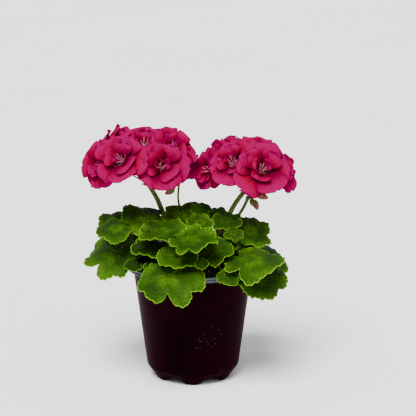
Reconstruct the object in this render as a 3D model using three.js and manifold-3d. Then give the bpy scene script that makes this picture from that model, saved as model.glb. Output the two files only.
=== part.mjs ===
// A potted geranium (zonal pelargonium): a plastic grower's pot, potting soil, one branched stem, its leaves on
// their stalks, two round flower heads and two sprays of buds. Millimetres, +Z up. The origin is at the centre
// of the pot's underside, and the front of the plant faces -Y.
import * as THREE from "three";
import { mergeVertices } from "three/addons/utils/BufferGeometryUtils.js";
import Module from "manifold-3d";

const wasm = await Module();
wasm.setup();

// Driving dimensions of the pot
const RIM_RADIUS = 60;
const POT_HEIGHT = 106.5;
const RIM_BAND = 4.4;
const RIM_LIP = 2.2;
const RIM_GROOVE = 0.7;
const BODY_TOP_RADIUS = 54;
const BODY_LOW_RADIUS = 41.6;
const CHAMFER_HEIGHT = 11.5;
const FOOT_RADIUS = 34.6;
const FOOT_WIDTH = 5.6;
const FOOT_HEIGHT = 4.5;
const FOOT_COUNT = 6;
const FLOOR_RISE = 2.4;
const CENTRE_PAD_RADIUS = 13;
const WALL = 1.3;
const DRAIN_RADIUS = 2.6;
const POT_SIDES = 30;

// Driving dimensions of the soil and the stem
const SOIL_TOP = 95;
const SOIL_ROUGHNESS = 1.6;
const SOIL_SIDES = 24;
const STEM_RADIUS = 4.4;
const STEM_DEPTH = 26;
const STEM_HOLE_CLEARANCE = 0.4;
const CLEARANCE = 0.3;

// Driving dimensions of the leaves
const BLADE_THICKNESS = 0.9;
const LEAF_STALK_RADIUS = 1.15;
const LOBE_COUNT = 7;
const LOBE_SPACING = THREE.MathUtils.degToRad(48);
const LAST_LEAF_ANGLE = THREE.MathUtils.degToRad(163);
const LEAF_LENGTH = 0.95;
const LEAF_WIDTH = 1.1;
const SINUS_DEPTH = 0.1;
const MIDDLE_RING = 0.52;
const STALK_SIDES = 4;
const STALK_STEPS = 4;

// Driving dimensions of the flowers
const PETAL_THICKNESS = 0.9;
const PEDUNCLE_RADIUS = 1.9;
const PEDICEL_RADIUS = 0.7;
const CALYX_RADIUS = 1.9;
const CALYX_LENGTH = 5;
const PETAL_COUNT = 5;

const UP = new THREE.Vector3(0, 0, 1);
const vec = (x, y, z) => new THREE.Vector3(x, y, z);

// A number from 0 to 1 that is always the same for the same key.
function chance(key) {
  const value = Math.sin(key * 12.9898 + 4.1414) * 43758.5453;
  return value - Math.floor(value);
}

function smoothstep(low, high, x) {
  const t = Math.min(1, Math.max(0, (x - low) / (high - low)));
  return t * t * (3 - 2 * t);
}

// The unit vector at an azimuth (0 is +X, -90 the front) and an elevation, in degrees.
function heading(azimuth, elevation) {
  const a = THREE.MathUtils.degToRad(azimuth);
  const e = THREE.MathUtils.degToRad(elevation);
  return vec(Math.cos(a) * Math.cos(e), Math.sin(a) * Math.cos(e), Math.sin(e));
}

// Closed geometries and solids

function closedGeometry(points, faces) {
  const positions = new Float32Array(points.flatMap((p) => [p.x, p.y, p.z]));
  const geometry = new THREE.BufferGeometry();
  geometry.setAttribute("position", new THREE.BufferAttribute(positions, 3));
  geometry.setIndex(faces.flat());
  return geometry;
}

function solidOf(geometry) {
  const plain = geometry.index ? geometry.toNonIndexed() : geometry.clone();
  plain.deleteAttribute("normal");
  plain.deleteAttribute("uv");
  const merged = mergeVertices(plain, 1e-4);
  const mesh = new wasm.Mesh({
    numProp: 3,
    vertProperties: merged.attributes.position.array,
    triVerts: new Uint32Array(merged.index.array),
  });
  return new wasm.Manifold(mesh);
}

function geometryOf(solid) {
  const mesh = solid.getMesh();
  const positions = new Float32Array(mesh.numVert * 3);
  for (let i = 0; i < mesh.numVert; i++) {
    const start = i * mesh.numProp;
    positions.set(mesh.vertProperties.subarray(start, start + 3), i * 3);
  }
  const geometry = new THREE.BufferGeometry();
  geometry.setAttribute("position", new THREE.BufferAttribute(positions, 3));
  geometry.setIndex(new THREE.BufferAttribute(mesh.triVerts, 1));
  return geometry;
}

function joined(solids) {
  return solids.reduce((whole, next) => whole.add(next));
}

// A round stalk along a curve, closed at both ends. radiusAt takes the share of the curve's length.
function stalkGeometry(curve, steps, sides, radiusAt) {
  const frames = curve.computeFrenetFrames(steps, false);
  const points = [];
  const faces = [];
  for (let i = 0; i <= steps; i++) {
    const centre = curve.getPointAt(i / steps);
    const radius = radiusAt(i / steps);
    for (let j = 0; j < sides; j++) {
      const angle = (2 * Math.PI * j) / sides;
      const across = frames.normals[i].clone().multiplyScalar(radius * Math.cos(angle));
      const aside = frames.binormals[i].clone().multiplyScalar(radius * Math.sin(angle));
      points.push(centre.clone().add(across).add(aside));
    }
  }
  for (let i = 0; i < steps; i++) {
    for (let j = 0; j < sides; j++) {
      const a = i * sides + j;
      const b = i * sides + ((j + 1) % sides);
      faces.push([a, b, b + sides], [a, b + sides, a + sides]);
    }
  }
  const end = steps * sides;
  for (let j = 1; j < sides - 1; j++) {
    faces.push([0, j + 1, j], [end, end + j, end + j + 1]);
  }
  return closedGeometry(points, faces);
}

// The frame of a blade at a point: x to its tip, z out of its upper face.
function bladeFrame(at, tip, face) {
  const z = face.clone().normalize();
  const x = tip.clone().addScaledVector(z, -tip.dot(z)).normalize();
  const y = z.clone().cross(x);
  return new THREE.Matrix4().makeBasis(x, y, z).setPosition(at);
}

// The pot

// How far the underside is raised at an angle: nothing at a foot, and the whole foot height between two feet.
function archAt(angle) {
  const fromFoot = (1 - Math.cos(FOOT_COUNT * (angle + Math.PI / 2))) / 2;
  return FOOT_HEIGHT * smoothstep(0.12, 0.8, fromFoot);
}

// The outline of the wall from the axis round to the axis, as radius, height and share of the arch.
function potOutline() {
  const footInner = FOOT_RADIUS - FOOT_WIDTH;
  const bandLow = POT_HEIGHT - RIM_BAND;
  const bandMiddle = POT_HEIGHT - RIM_BAND / 2;
  const outside = [
    [0, 0, 0],
    [CENTRE_PAD_RADIUS, 0, 0],
    [CENTRE_PAD_RADIUS + 2, FLOOR_RISE, 0],
    [footInner - 2.2, FLOOR_RISE, 0],
    [footInner, 0, 1],
    [FOOT_RADIUS - 1, 0, 1],
    [FOOT_RADIUS, 1.6, 0.9],
    [BODY_LOW_RADIUS, CHAMFER_HEIGHT, 0],
    [BODY_TOP_RADIUS, bandLow, 0],
    [RIM_RADIUS, bandLow, 0],
    [RIM_RADIUS, bandMiddle - RIM_GROOVE, 0],
    [RIM_RADIUS - RIM_GROOVE, bandMiddle, 0],
    [RIM_RADIUS, bandMiddle + RIM_GROOVE, 0],
    [RIM_RADIUS, POT_HEIGHT, 0],
    [RIM_RADIUS - RIM_LIP, POT_HEIGHT, 0],
  ];
  const inside = [
    [BODY_TOP_RADIUS - WALL + 0.6, bandLow + WALL, 0],
    [BODY_LOW_RADIUS - WALL, CHAMFER_HEIGHT + 0.7, 0],
    [FOOT_RADIUS - WALL - 1, WALL + 0.4, 1],
    [footInner, WALL + 0.4, 1],
    [footInner - 2, FLOOR_RISE + WALL, 0],
    [0, FLOOR_RISE + WALL, 0],
  ];
  return outside.concat(inside);
}

function potSolid() {
  const outline = potOutline();
  const profile = outline.map(([radius, height]) => new THREE.Vector2(radius, height));
  const turned = new THREE.LatheGeometry(profile, POT_SIDES);
  const positions = turned.getAttribute("position");
  for (let i = 0; i < positions.count; i++) {
    const [radius, height, share] = outline[i % outline.length];
    const step = Math.floor(i / outline.length) % POT_SIDES;
    const angle = (2 * Math.PI * step) / POT_SIDES;
    const lifted = height + share * archAt(angle);
    positions.setXYZ(i, radius * Math.cos(angle), radius * Math.sin(angle), lifted);
  }
  const drains = [];
  for (let i = 0; i < FOOT_COUNT; i++) {
    const angle = (2 * Math.PI * (i + 0.5)) / FOOT_COUNT - Math.PI / 2;
    const middle = FOOT_RADIUS - FOOT_WIDTH / 2 - 0.6;
    const hole = new THREE.CylinderGeometry(DRAIN_RADIUS, DRAIN_RADIUS, 12, 6).rotateX(Math.PI / 2);
    hole.translate(middle * Math.cos(angle), middle * Math.sin(angle), FOOT_HEIGHT);
    drains.push(solidOf(hole));
  }
  return solidOf(turned).subtract(joined(drains));
}

// The soil

// The radius of the pot's inner wall at a height above the chamfer.
function innerWallRadius(height) {
  const low = BODY_LOW_RADIUS - WALL;
  const high = BODY_TOP_RADIUS - WALL + 0.6;
  const lowHeight = CHAMFER_HEIGHT + 0.7;
  const highHeight = POT_HEIGHT - RIM_BAND + WALL;
  return low + ((high - low) * (height - lowHeight)) / (highHeight - lowHeight);
}

function soilRise(radius, angle) {
  const crumbs = Math.sin(radius * 0.9 + 3 * angle) * Math.cos(5 * angle - radius * 0.31);
  const clods = Math.sin(2 * angle + 1) * Math.cos(radius * 0.13);
  return SOIL_ROUGHNESS * (0.6 * crumbs + 0.7 * clods);
}

function soilSolid() {
  const topRadius = innerWallRadius(SOIL_TOP) - CLEARANCE - 0.4;
  const bottomHeight = FOOT_HEIGHT + WALL + 0.7;
  const rings = [
    [topRadius * 0.3, SOIL_TOP + 1.6, 1],
    [topRadius * 0.56, SOIL_TOP + 1, 1],
    [topRadius * 0.8, SOIL_TOP, 1],
    [topRadius, SOIL_TOP - 2.5, 0.3],
    [BODY_LOW_RADIUS - WALL - 0.6, CHAMFER_HEIGHT + 1.4, 0],
    [FOOT_RADIUS - WALL - 0.9, bottomHeight, 0],
  ];
  const points = [vec(0, 0, SOIL_TOP + 1.8)];
  for (const [radius, height, roughness] of rings) {
    for (let j = 0; j < SOIL_SIDES; j++) {
      const angle = (2 * Math.PI * j) / SOIL_SIDES;
      const z = height + roughness * soilRise(radius, angle);
      points.push(vec(radius * Math.cos(angle), radius * Math.sin(angle), z));
    }
  }
  points.push(vec(0, 0, bottomHeight));
  const faces = [];
  const at = (ring, j) => 1 + ring * SOIL_SIDES + (j % SOIL_SIDES);
  for (let j = 0; j < SOIL_SIDES; j++) {
    faces.push([0, at(0, j), at(0, j + 1)]);
    for (let ring = 0; ring < rings.length - 1; ring++) {
      faces.push([at(ring, j), at(ring + 1, j), at(ring + 1, j + 1)]);
      faces.push([at(ring, j), at(ring + 1, j + 1), at(ring, j + 1)]);
    }
    faces.push([points.length - 1, at(rings.length - 1, j + 1), at(rings.length - 1, j)]);
  }
  const holeRadius = STEM_RADIUS + STEM_HOLE_CLEARANCE;
  const hole = new THREE.CylinderGeometry(holeRadius, holeRadius, 2 * STEM_DEPTH, 12).rotateX(Math.PI / 2);
  hole.translate(0, 0, SOIL_TOP);
  return solidOf(closedGeometry(points, faces)).subtract(solidOf(hole));
}

// The stem

// Each shoot as the points that it passes through, and its radius at the foot and at the tip.
const SHOOTS = {
  main: { path: [vec(0, 0, SOIL_TOP - STEM_DEPTH + 1), vec(0, 0, 96), vec(0.5, -0.5, 114)], radii: [STEM_RADIUS, 4] },
  left: { path: [vec(0, 0, 106), vec(-11, -1, 115), vec(-19, -1, 128), vec(-22, -1, 140)], radii: [3.4, 2.6] },
  right: { path: [vec(0, 0, 108), vec(11, -3, 117), vec(19, -4, 129), vec(23, -4, 138)], radii: [3.4, 2.6] },
  back: { path: [vec(0, 0, 109), vec(-2, 9, 118), vec(-3, 16, 131), vec(-3, 18, 142)], radii: [3.4, 2.4] },
  front: { path: [vec(0, 0, 103), vec(-1, -10, 110), vec(-2, -17, 120), vec(-3, -20, 130)], radii: [3.4, 2.4] },
};

for (const shoot of Object.values(SHOOTS)) shoot.curve = new THREE.CatmullRomCurve3(shoot.path);

function stemSolid(extra) {
  const shoots = Object.values(SHOOTS).map(({ curve, radii }) => {
    const radiusAt = (t) => radii[0] + (radii[1] - radii[0]) * t + extra;
    return solidOf(stalkGeometry(curve, 4, 6, radiusAt));
  });
  return joined(shoots);
}

// The leaves

// Each leaf: its name, where its stalk meets the blade, the way its tip points and its face looks (azimuth and
// elevation in degrees), its radius, how far its edge droops (below 0) or cups, and the shoot and share of that
// shoot where its stalk starts.
const LEAVES = [
  ["leaf_front_left_low", [-20, -65, 111], [-56, -42], [-92, 54], 26.5, -0.14, "front", 0.3],
  ["leaf_left_low", [-69, -20, 120], [-166, 0], [-120, 54], 25, -0.12, "left", 0.3],
  ["leaf_left_middle", [-66.5, -26, 144], [-160, -14], [-112, 72], 16.5, -0.1, "left", 0.62],
  ["leaf_left_top_back", [-73, 20, 141], [150, -4], [-110, 68], 12, -0.18, "left", 0.8],
  ["leaf_left_back_edge", [-79, 15, 126.5], [178, -20], [-165, 60], 11, -0.16, "left", 0.4],
  ["leaf_left_top", [-39.5, -7.5, 148.7], [-158, 0], [-86, 72], 21.5, -0.1, "left", 0.8],
  ["leaf_front_left_upper", [-29, -37.5, 142], [-50, -6], [-84, 68], 19.5, 0.2, "left", 0.8],
  ["leaf_front_centre_bright", [-2.5, -60, 140.6], [-14, -12], [-90, 77], 21.5, 0.08, "front", 0.9],
  ["leaf_top_small", [6.5, -18.5, 146.5], [-88, -22], [-84, 56], 11.5, 0.26, "right", 0.55],
  ["leaf_upper_centre", [-11, -8, 152], [-120, -10], [-86, 58], 14, -0.08, "front", 0.98],
  ["leaf_top_centre", [4, 6, 155.5], [-100, -14], [-88, 66], 12, -0.18, "back", 0.85],
  ["leaf_top_back_right", [22, 23, 141.5], [20, -6], [-75, 56], 13, -0.14, "back", 0.8],
  ["leaf_top_right", [29, -15, 148], [-70, -28], [-84, 60], 13, 0.04, "right", 0.72],
  ["leaf_right_small", [36, -32, 141], [-76, -34], [-86, 52], 8, -0.1, "right", 0.62],
  ["leaf_right_top", [51, -10.5, 137], [34, 2], [-70, 62], 18, -0.14, "right", 0.66],
  ["leaf_right_young", [48, -18, 126], [-80, -26], [-86, 58], 6.5, 0.1, "right", 0.58],
  ["leaf_front_right", [50, -51, 121.5], [-40, -24], [-88, 76], 25.5, -0.1, "right", 0.42],
  ["leaf_right_edge", [74, -17, 110], [-20, -24], [-58, 56], 11.5, -0.12, "right", 0.42],
  ["leaf_right_low", [59, -48, 107], [-60, -34], [-80, 56], 21, -0.12, "right", 0.18],
  ["leaf_front_right_rim", [31, -64, 111], [-96, -40], [-86, 56], 9, -0.1, "right", 0.25],
  ["leaf_front_centre_ruffled", [-13, -57, 126], [-84, -24], [-92, 60], 16, 0.14, "front", 0.8],
  ["leaf_front_left_dark", [-35, -38, 128.5], [-130, -14], [-100, 66], 16, 0.1, "left", 0.45],
  ["leaf_front_left_small", [-32, -50, 115], [-120, -30], [-96, 58], 9, 0.06, "left", 0.1],
  ["leaf_left_rim_small", [-51, -42, 114], [-140, -24], [-108, 60], 8, 0.06, "left", 0.15],
  ["leaf_front_right_dark", [18, -42, 128.6], [-76, -24], [-84, 58], 16, 0.08, "front", 0.55],
  ["leaf_front_bud", [8, -67, 122.5], [-70, -44], [-86, 46], 5.5, 0.16, "front", 0.2],
  ["leaf_right_inner", [30, -30, 130], [-70, -20], [-84, 64], 9, -0.06, "right", 0.5],
  ["leaf_back_top", [-9, 24, 152], [104, -4], [100, 74], 13, -0.1, "back", 0.93],
  ["leaf_back_right_low", [64, 24, 110.5], [10, -24], [-20, 56], 19, -0.12, "right", 0.15],
  ["leaf_back_right_corner", [44, 61, 109], [52, -30], [54, 60], 20, -0.12, "right", 0.05],
  ["leaf_back_low", [1, 71, 111], [88, -32], [88, 58], 23, -0.12, "back", 0.2],
  ["leaf_back_left_corner", [-40, 60, 110], [126, -30], [124, 60], 19, -0.12, "back", 0.16],
  ["leaf_back_left_low", [-68, 30, 112], [158, -24], [158, 64], 21, -0.12, "left", 0.22],
  ["leaf_back_right_middle", [34, 28, 132.5], [-10, -20], [-62, 54], 18, -0.12, "right", 0.75],
  ["leaf_back_middle", [13, 50, 137], [72, -16], [78, 68], 18, -0.12, "back", 0.55],
  ["leaf_back_left_middle", [-26, 49, 132], [118, -22], [116, 64], 20, -0.12, "back", 0.42],
  ["leaf_left_back_middle", [-56, 26, 128], [-160, -30], [-115, 46], 19, -0.12, "left", 0.7],
];

// The edge angles of a leaf: the inner edge of each basal lobe, then each lobe's tip, shoulder and cleft.
function leafAngles() {
  const last = ((LOBE_COUNT - 1) / 2) * LOBE_SPACING;
  const inner = [];
  for (let i = 0; i <= 4 * (LOBE_COUNT - 1); i++) inner.push((i * LOBE_SPACING) / 4 - last);
  const between = (LAST_LEAF_ANGLE + last) / 2;
  return [-LAST_LEAF_ANGLE, -between, ...inner, between, LAST_LEAF_ANGLE];
}

// The clefts that are deeper or shallower than the rest: each by its number from the tip, below 0 on the side of
// the negative angles, with its depth as a share of the radius.
const CLEFTS = {
  leaf_front_left_low: { "-1": 0.42, "-2": 0.12 },
  leaf_left_low: { 1: 0.4 },
  leaf_front_right: { "-2": 0.38 },
  leaf_front_centre_bright: { "-2": 0.4 },
};

// A leaf's edge radius as a share of its size: a kidney shape, cut between its lobes.
function leafEdge(angle, seed, clefts) {
  const kidney = 0.2 * Math.cos(angle) + Math.sqrt(1 - (0.2 * Math.sin(angle)) ** 2);
  const between = Math.abs(angle) / LOBE_SPACING + 0.5;
  const cleft = Math.round(between);
  if (cleft < 1 || cleft > (LOBE_COUNT - 1) / 2) return kidney;
  const usual = 0.06 + 0.26 * chance(seed * 7 + cleft + (angle < 0 ? 20 : 40)) ** 2;
  const depth = clefts[angle < 0 ? -cleft : cleft] ?? usual;
  return kidney * (1 - depth * Math.max(0, 1 - Math.abs(between - cleft) / 0.5) ** 2.2);
}

// The height of a leaf's middle surface over its base plane, as a share of its size.
function leafHeight(share, angle, bowl, seed) {
  const phase = 2 * Math.PI * chance(seed * 3 + 1);
  const pleat = -0.06 * share * (1 - 0.6 * share ** 2) * Math.cos((2 * Math.PI * angle) / LOBE_SPACING);
  const wave = 0.1 * share ** 2.5 * Math.sin(3 * angle + phase);
  const twist = 0.06 * share ** 2 * Math.sin(angle + 2 * phase);
  return bowl * share ** 2 + pleat + wave + twist;
}

// The curve of a leaf's stalk from its blade to its shoot: it leaves the shoot outwards and up, and meets the
// blade from below and from inside. The stalks of the low leaves arch over the rim of the pot.
function leafStalkCurve(start, at, face) {
  const reach = at.clone().sub(start);
  const away = vec(reach.x, reach.y, 0).normalize().addScaledVector(UP, 0.75).normalize();
  const out = vec(reach.x, reach.y, 0).normalize();
  const overRim = at.z < POT_HEIGHT + 2 ? -0.65 : at.z < POT_HEIGHT + 11 ? -0.2 : 0;
  const into = face.clone().multiplyScalar(0.6).addScaledVector(out, 0.6).addScaledVector(UP, overRim).normalize();
  const length = reach.length();
  return new THREE.CubicBezierCurve3(
    at.clone(),
    at.clone().addScaledVector(into, -0.35 * length),
    start.clone().addScaledVector(away, 0.4 * length),
    start.clone(),
  );
}

// The triangles between two rings of points round one centre, each given by its points' numbers and angles.
function ringBand(outer, outerAngles, inner, innerAngles) {
  const turn = 2 * Math.PI;
  const angleOf = (angles, i) => angles[i % angles.length] + turn * Math.floor(i / angles.length);
  const faces = [];
  let a = 0;
  let b = 0;
  while (a < inner.length || b < outer.length) {
    const innerNext = angleOf(innerAngles, a + 1);
    const outerNext = angleOf(outerAngles, b + 1);
    const from = inner[a % inner.length];
    const out = outer[b % outer.length];
    if (a >= inner.length || (b < outer.length && outerNext <= innerNext)) {
      faces.push([from, out, outer[(b + 1) % outer.length]]);
      b++;
    } else {
      faces.push([from, out, inner[(a + 1) % inner.length]]);
      a++;
    }
  }
  return faces;
}

// A leaf as one closed skin: the upper face, the edge, the lower face, and the stalk drawn out of it.
function leafGeometry(frame, size, bowl, seed, clefts, curve, seat) {
  const angles = leafAngles();
  const local = (radius, angle, lift) => {
    const height = size * leafHeight(radius / size, angle, bowl, seed) + lift;
    const x = LEAF_LENGTH * radius * Math.cos(angle);
    return vec(x, LEAF_WIDTH * radius * Math.sin(angle), height).applyMatrix4(frame);
  };
  const notchRadius = Math.max(SINUS_DEPTH * size, 2.2);
  const points = [];
  const skin = (lift) => {
    const first = points.length;
    angles.forEach((angle) => points.push(local(size * leafEdge(angle, seed, clefts), angle, lift)));
    for (let i = 0; i < angles.length; i += 2) {
      points.push(local(MIDDLE_RING * size * leafEdge(angles[i], seed, clefts), angles[i], lift));
    }
    points.push(local(notchRadius, Math.PI, lift));
    return first;
  };
  const rings = (angles.length + 1) / 2;
  const top = skin(BLADE_THICKNESS / 2);
  const low = skin(-BLADE_THICKNESS / 2);
  const centre = points.push(local(0, 0, BLADE_THICKNESS / 2)) - 1;
  const notch = angles.length + rings;
  const ring = (k) => angles.length + k;
  const upper = [];
  for (let k = 0; k < rings - 1; k++) {
    const edge = 2 * k;
    upper.push([ring(k), edge, edge + 1], [ring(k), edge + 1, ring(k + 1)], [ring(k + 1), edge + 1, edge + 2]);
  }
  const faces = upper.map(([a, b, c]) => [top + a, top + b, top + c]);
  upper.forEach(([a, b, c]) => faces.push([low + a, low + c, low + b]));
  const inner = [...Array(rings + 1).keys()].map((k) => angles.length + k);
  inner.forEach((a, k) => faces.push([centre, top + a, top + inner[(k + 1) % inner.length]]));
  const border = [...angles.keys(), ring(rings - 1), notch, ring(0)];
  border.forEach((a, i) => {
    const b = border[(i + 1) % border.length];
    faces.push([top + a, low + a, low + b], [top + a, low + b, top + b]);
  });
  const radius = LEAF_STALK_RADIUS * Math.min(1, 0.45 + size / 45);
  const stalkAngles = [...Array(STALK_SIDES).keys()].map((j) => (2 * Math.PI * (j + 0.5)) / STALK_SIDES - Math.PI);
  const innerAngles = angles.filter((_, i) => i % 2 === 0).concat([Math.PI]);
  const stalkStart = points.length;
  const across = vec(1, 0, 0).transformDirection(frame);
  for (let i = 0; i <= STALK_STEPS; i++) {
    const share = i / STALK_STEPS;
    const along = i === STALK_STEPS ? seat.clone().negate() : curve.getTangentAt(share);
    if (i === 0) along.copy(vec(0, 0, -1).transformDirection(frame));
    across.addScaledVector(along, -across.dot(along)).normalize();
    const aside = across.clone().cross(along);
    const middle = curve.getPointAt(share);
    if (i === 0) middle.addScaledVector(along, BLADE_THICKNESS / 2);
    for (const angle of stalkAngles) {
      const spoke = across.clone().multiplyScalar(Math.cos(angle)).addScaledVector(aside, Math.sin(angle));
      points.push(middle.clone().addScaledVector(spoke, radius * (0.9 + 0.4 * share)));
    }
  }
  const collar = stalkAngles.map((_, j) => stalkStart + j);
  const lowRing = inner.map((a) => low + a);
  ringBand(lowRing, innerAngles, collar, stalkAngles).forEach(([a, b, c]) => faces.push([a, c, b]));
  for (let i = 0; i < STALK_STEPS; i++) {
    for (let j = 0; j < STALK_SIDES; j++) {
      const a = stalkStart + i * STALK_SIDES + j;
      const b = stalkStart + i * STALK_SIDES + ((j + 1) % STALK_SIDES);
      faces.push([a, a + STALK_SIDES, b + STALK_SIDES], [a, b + STALK_SIDES, b]);
    }
  }
  const end = stalkStart + STALK_STEPS * STALK_SIDES;
  for (let j = 1; j < STALK_SIDES - 1; j++) faces.push([end, end + j + 1, end + j]);
  return closedGeometry(points, faces);
}

// Where a leaf's stalk is seated on its shoot, and the way it looks out from there.
function seatOn(shoot, share, towards) {
  const { curve, radii } = SHOOTS[shoot];
  const centre = curve.getPointAt(share);
  const along = curve.getTangentAt(share);
  const seat = towards.clone().sub(centre);
  seat.addScaledVector(along, -seat.dot(along)).normalize();
  const radius = radii[0] + (radii[1] - radii[0]) * share;
  return { start: centre.addScaledVector(seat, radius + CLEARANCE + 0.1), seat };
}

function leafSkin([name, place, tipWay, faceWay, size, bowl, shoot, share], index) {
  const at = vec(...place);
  const tip = heading(...tipWay);
  const face = heading(...faceWay);
  const { start, seat } = seatOn(shoot, share, at);
  const curve = leafStalkCurve(start, at, face);
  return leafGeometry(bladeFrame(at, tip, face), size, bowl, index + 1, CLEFTS[name] ?? {}, curve, seat);
}

// The flower heads

// Each head: the hub where its flower stalks meet, the way of its main stalk, and for each floret its centre
// from the hub, the way it faces (azimuth and elevation in degrees) and its radius.
const HEADS = {
  left: {
    hub: vec(-40, 0, 178),
    path: [SHOOTS.left.curve.getPointAt(0.97), vec(-27, 9, 149), vec(-32, 8, 162), vec(-40, 0, 178)],
    florets: [
      [[-20, -27, 25], [-114, 33], 22.5],
      [[12, -28, 20], [-78, 28], 22.5],
      [[-3, -11, 34], [-84, 56], 20],
      [[-22, -3, 33], [-135, 54], 18.5],
      [[-37, -12, 19], [-135, 20], 21],
      [[20, -11, 31], [-50, 45], 21.5],
      [[28, -8, 22], [-42, 22], 17.5],
      [[-33, 9, 29], [-178, 36], 21],
      [[11, 9, 32], [-50, 66], 20.5],
      [[-20, 25, 21], [125, 34], 20],
      [[3, 31, 19], [85, 34], 20],
      [[22, 22, 20], [45, 30], 19],
    ],
  },
  right: {
    hub: vec(47, 0, 172),
    path: [SHOOTS.right.curve.getPointAt(0.97), vec(30, -3, 146), vec(38, -2, 160), vec(47, 0, 172)],
    florets: [
      [[13, -27, 22], [-78, 36], 24.5],
      [[-10, -22, 27], [-112, 36], 21.5],
      [[-17, -1, 28], [-150, 46], 22.5],
      [[-29, -9, 19.5], [-142, 20], 19],
      [[8, 3, 28], [-80, 62], 22],
      [[29, -6, 18], [-35, 22], 18.5],
      [[24, 9, 22], [-20, 46], 20],
      [[-15, 24, 22], [118, 32], 20],
      [[11, 26, 21], [74, 32], 20],
    ],
  },
};

// A floret as one closed skin: a spreading outer whorl of five notched petals, and an upright inner whorl of
// five that stand over the gaps. size is its radius.
function floretGeometry(frame, size, seed) {
  const points = [];
  const own = (k) => 1 + 0.14 * (chance(seed * 5 + (k % PETAL_COUNT)) - 0.5);
  const put = (radius, angle, height) => {
    points.push(vec(radius * Math.cos(angle), radius * Math.sin(angle), height).applyMatrix4(frame));
    return points.length - 1;
  };
  const half = PETAL_THICKNESS / 2;
  const step = Math.PI / PETAL_COUNT;
  const cup = (share, k) => size * (0.78 * share - 0.52 * share ** 2 + 0.05 * share ** 2 * (k % 2 ? 1 : -1));
  const outerAt = (share, angle, k, lift) => put(share * size * own(k), angle, cup(share, k + seed) + lift);
  const whorlRing = (lift) => {
    const ring = [];
    for (let k = 0; k < PETAL_COUNT; k++) {
      ring.push(outerAt(0.36, 2 * k * step, k, lift), outerAt(0.6, (2 * k + 1) * step, k, lift));
    }
    return ring;
  };
  const whorlEdge = (lift) => {
    const edge = [];
    for (let k = 0; k < PETAL_COUNT; k++) {
      edge.push(outerAt(0.62, 2 * k * step, k, lift));
      edge.push(outerAt(0.98, (2 * k + 0.5) * step, k, lift), outerAt(0.98, (2 * k + 1.5) * step, k, lift));
    }
    return edge;
  };
  const under = put(0, 0, -half);
  const lowEdge = whorlEdge(-half);
  const topEdge = whorlEdge(half);
  const topRing = whorlRing(half);
  const count = 2 * PETAL_COUNT;
  const innerRing = (spread, rise) => {
    const ring = [];
    for (let k = 0; k < count; k++) {
      const tall = k % 2 === 0;
      const out = size * (tall ? 0.56 : 0.36) * own(k) - spread;
      ring.push(put(out, k * step, size * (tall ? 0.48 : 0.34) * own(k + 2) + rise));
    }
    return ring;
  };
  const root = [];
  for (let k = 0; k < count; k++) root.push(put(0.16 * size, k * step, cup(0.16, 0) + half + 0.1));
  const innerOut = innerRing(0, 0);
  const innerIn = innerRing(PETAL_THICKNESS, 0.3);
  const heart = put(0, 0, half + 0.9);
  const faces = [];
  const band = (low, high) => {
    low.forEach((a, i) => {
      const b = (i + 1) % low.length;
      faces.push([a, low[b], high[b]], [a, high[b], high[i]]);
    });
  };
  const petalFaces = (ring, edge) => {
    const all = [];
    for (let k = 0; k < PETAL_COUNT; k++) {
      const [c0, m, c1] = [ring[2 * k], ring[2 * k + 1], ring[(2 * k + 2) % count]];
      const [e0, s0, s1, e1] = [0, 1, 2, 3].map((n) => edge[(3 * k + n) % edge.length]);
      all.push([c0, e0, s0], [c0, s0, m], [m, s0, s1], [m, s1, c1], [c1, s1, e1]);
    }
    return all;
  };
  lowEdge.forEach((a, i) => faces.push([under, lowEdge[(i + 1) % lowEdge.length], a]));
  band(lowEdge, topEdge);
  faces.push(...petalFaces(topRing, topEdge));
  band(topRing, root);
  band(root, innerOut);
  band(innerOut, innerIn);
  innerIn.forEach((a, i) => faces.push([heart, a, innerIn[(i + 1) % count]]));
  return closedGeometry(points, faces);
}

// Where a floret is in its head, and how it is turned.
function floretPlace(hub, [centre, faceWay], seed) {
  const face = heading(...faceWay);
  const tip = heading(360 * chance(seed * 11), 20);
  const at = hub.clone().add(vec(...centre));
  return { face, at, frame: bladeFrame(at, tip, face) };
}

function headStalks({ hub, path, florets }, extra, seed) {
  const main = new THREE.CatmullRomCurve3(path);
  const stalks = [solidOf(stalkGeometry(main, 5, 5, (t) => PEDUNCLE_RADIUS * (1.1 - 0.25 * t) + extra))];
  const knob = new THREE.SphereGeometry(3.4 + extra, 6, 4).translate(hub.x, hub.y, hub.z);
  stalks.push(solidOf(knob));
  florets.forEach((floret, i) => {
    const { face, at } = floretPlace(hub, floret, i + 1 + seed);
    const top = at.addScaledVector(face, -PETAL_THICKNESS / 2 - CLEARANCE);
    const low = top.clone().addScaledVector(face, -CALYX_LENGTH);
    const root = hub.clone().lerp(low, 0.06);
    const curve = new THREE.CatmullRomCurve3([root, hub.clone().lerp(low, 0.5).addScaledVector(UP, 1.5), low, top]);
    const radiusAt = (t) => (t > 0.9 ? CALYX_RADIUS : PEDICEL_RADIUS) + extra;
    stalks.push(solidOf(stalkGeometry(curve, 4, 3, radiusAt)));
  });
  return joined(stalks);
}

function headPetals({ hub, florets }, seed) {
  const skins = florets.map((floret, i) => {
    const key = i + 1 + seed;
    return solidOf(floretGeometry(floretPlace(hub, floret, key).frame, floret[2], key));
  });
  return joined(skins);
}

// The buds

// A closed bud: a drop with its sepals, from its stalk end towards its tip.
function budSolid(at, way, length, radius) {
  const outline = [
    [0, 0],
    [0.62, 0.06],
    [1, 0.34],
    [0.86, 0.62],
    [0.42, 0.9],
    [0, 1],
  ];
  const profile = outline.map(([r, z]) => new THREE.Vector2(r * radius, z * length));
  const drop = new THREE.LatheGeometry(profile, 6).rotateX(Math.PI / 2);
  const turn = new THREE.Quaternion().setFromUnitVectors(UP, way.clone().normalize());
  drop.applyQuaternion(turn).translate(at.x, at.y, at.z);
  return solidOf(drop);
}

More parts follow.
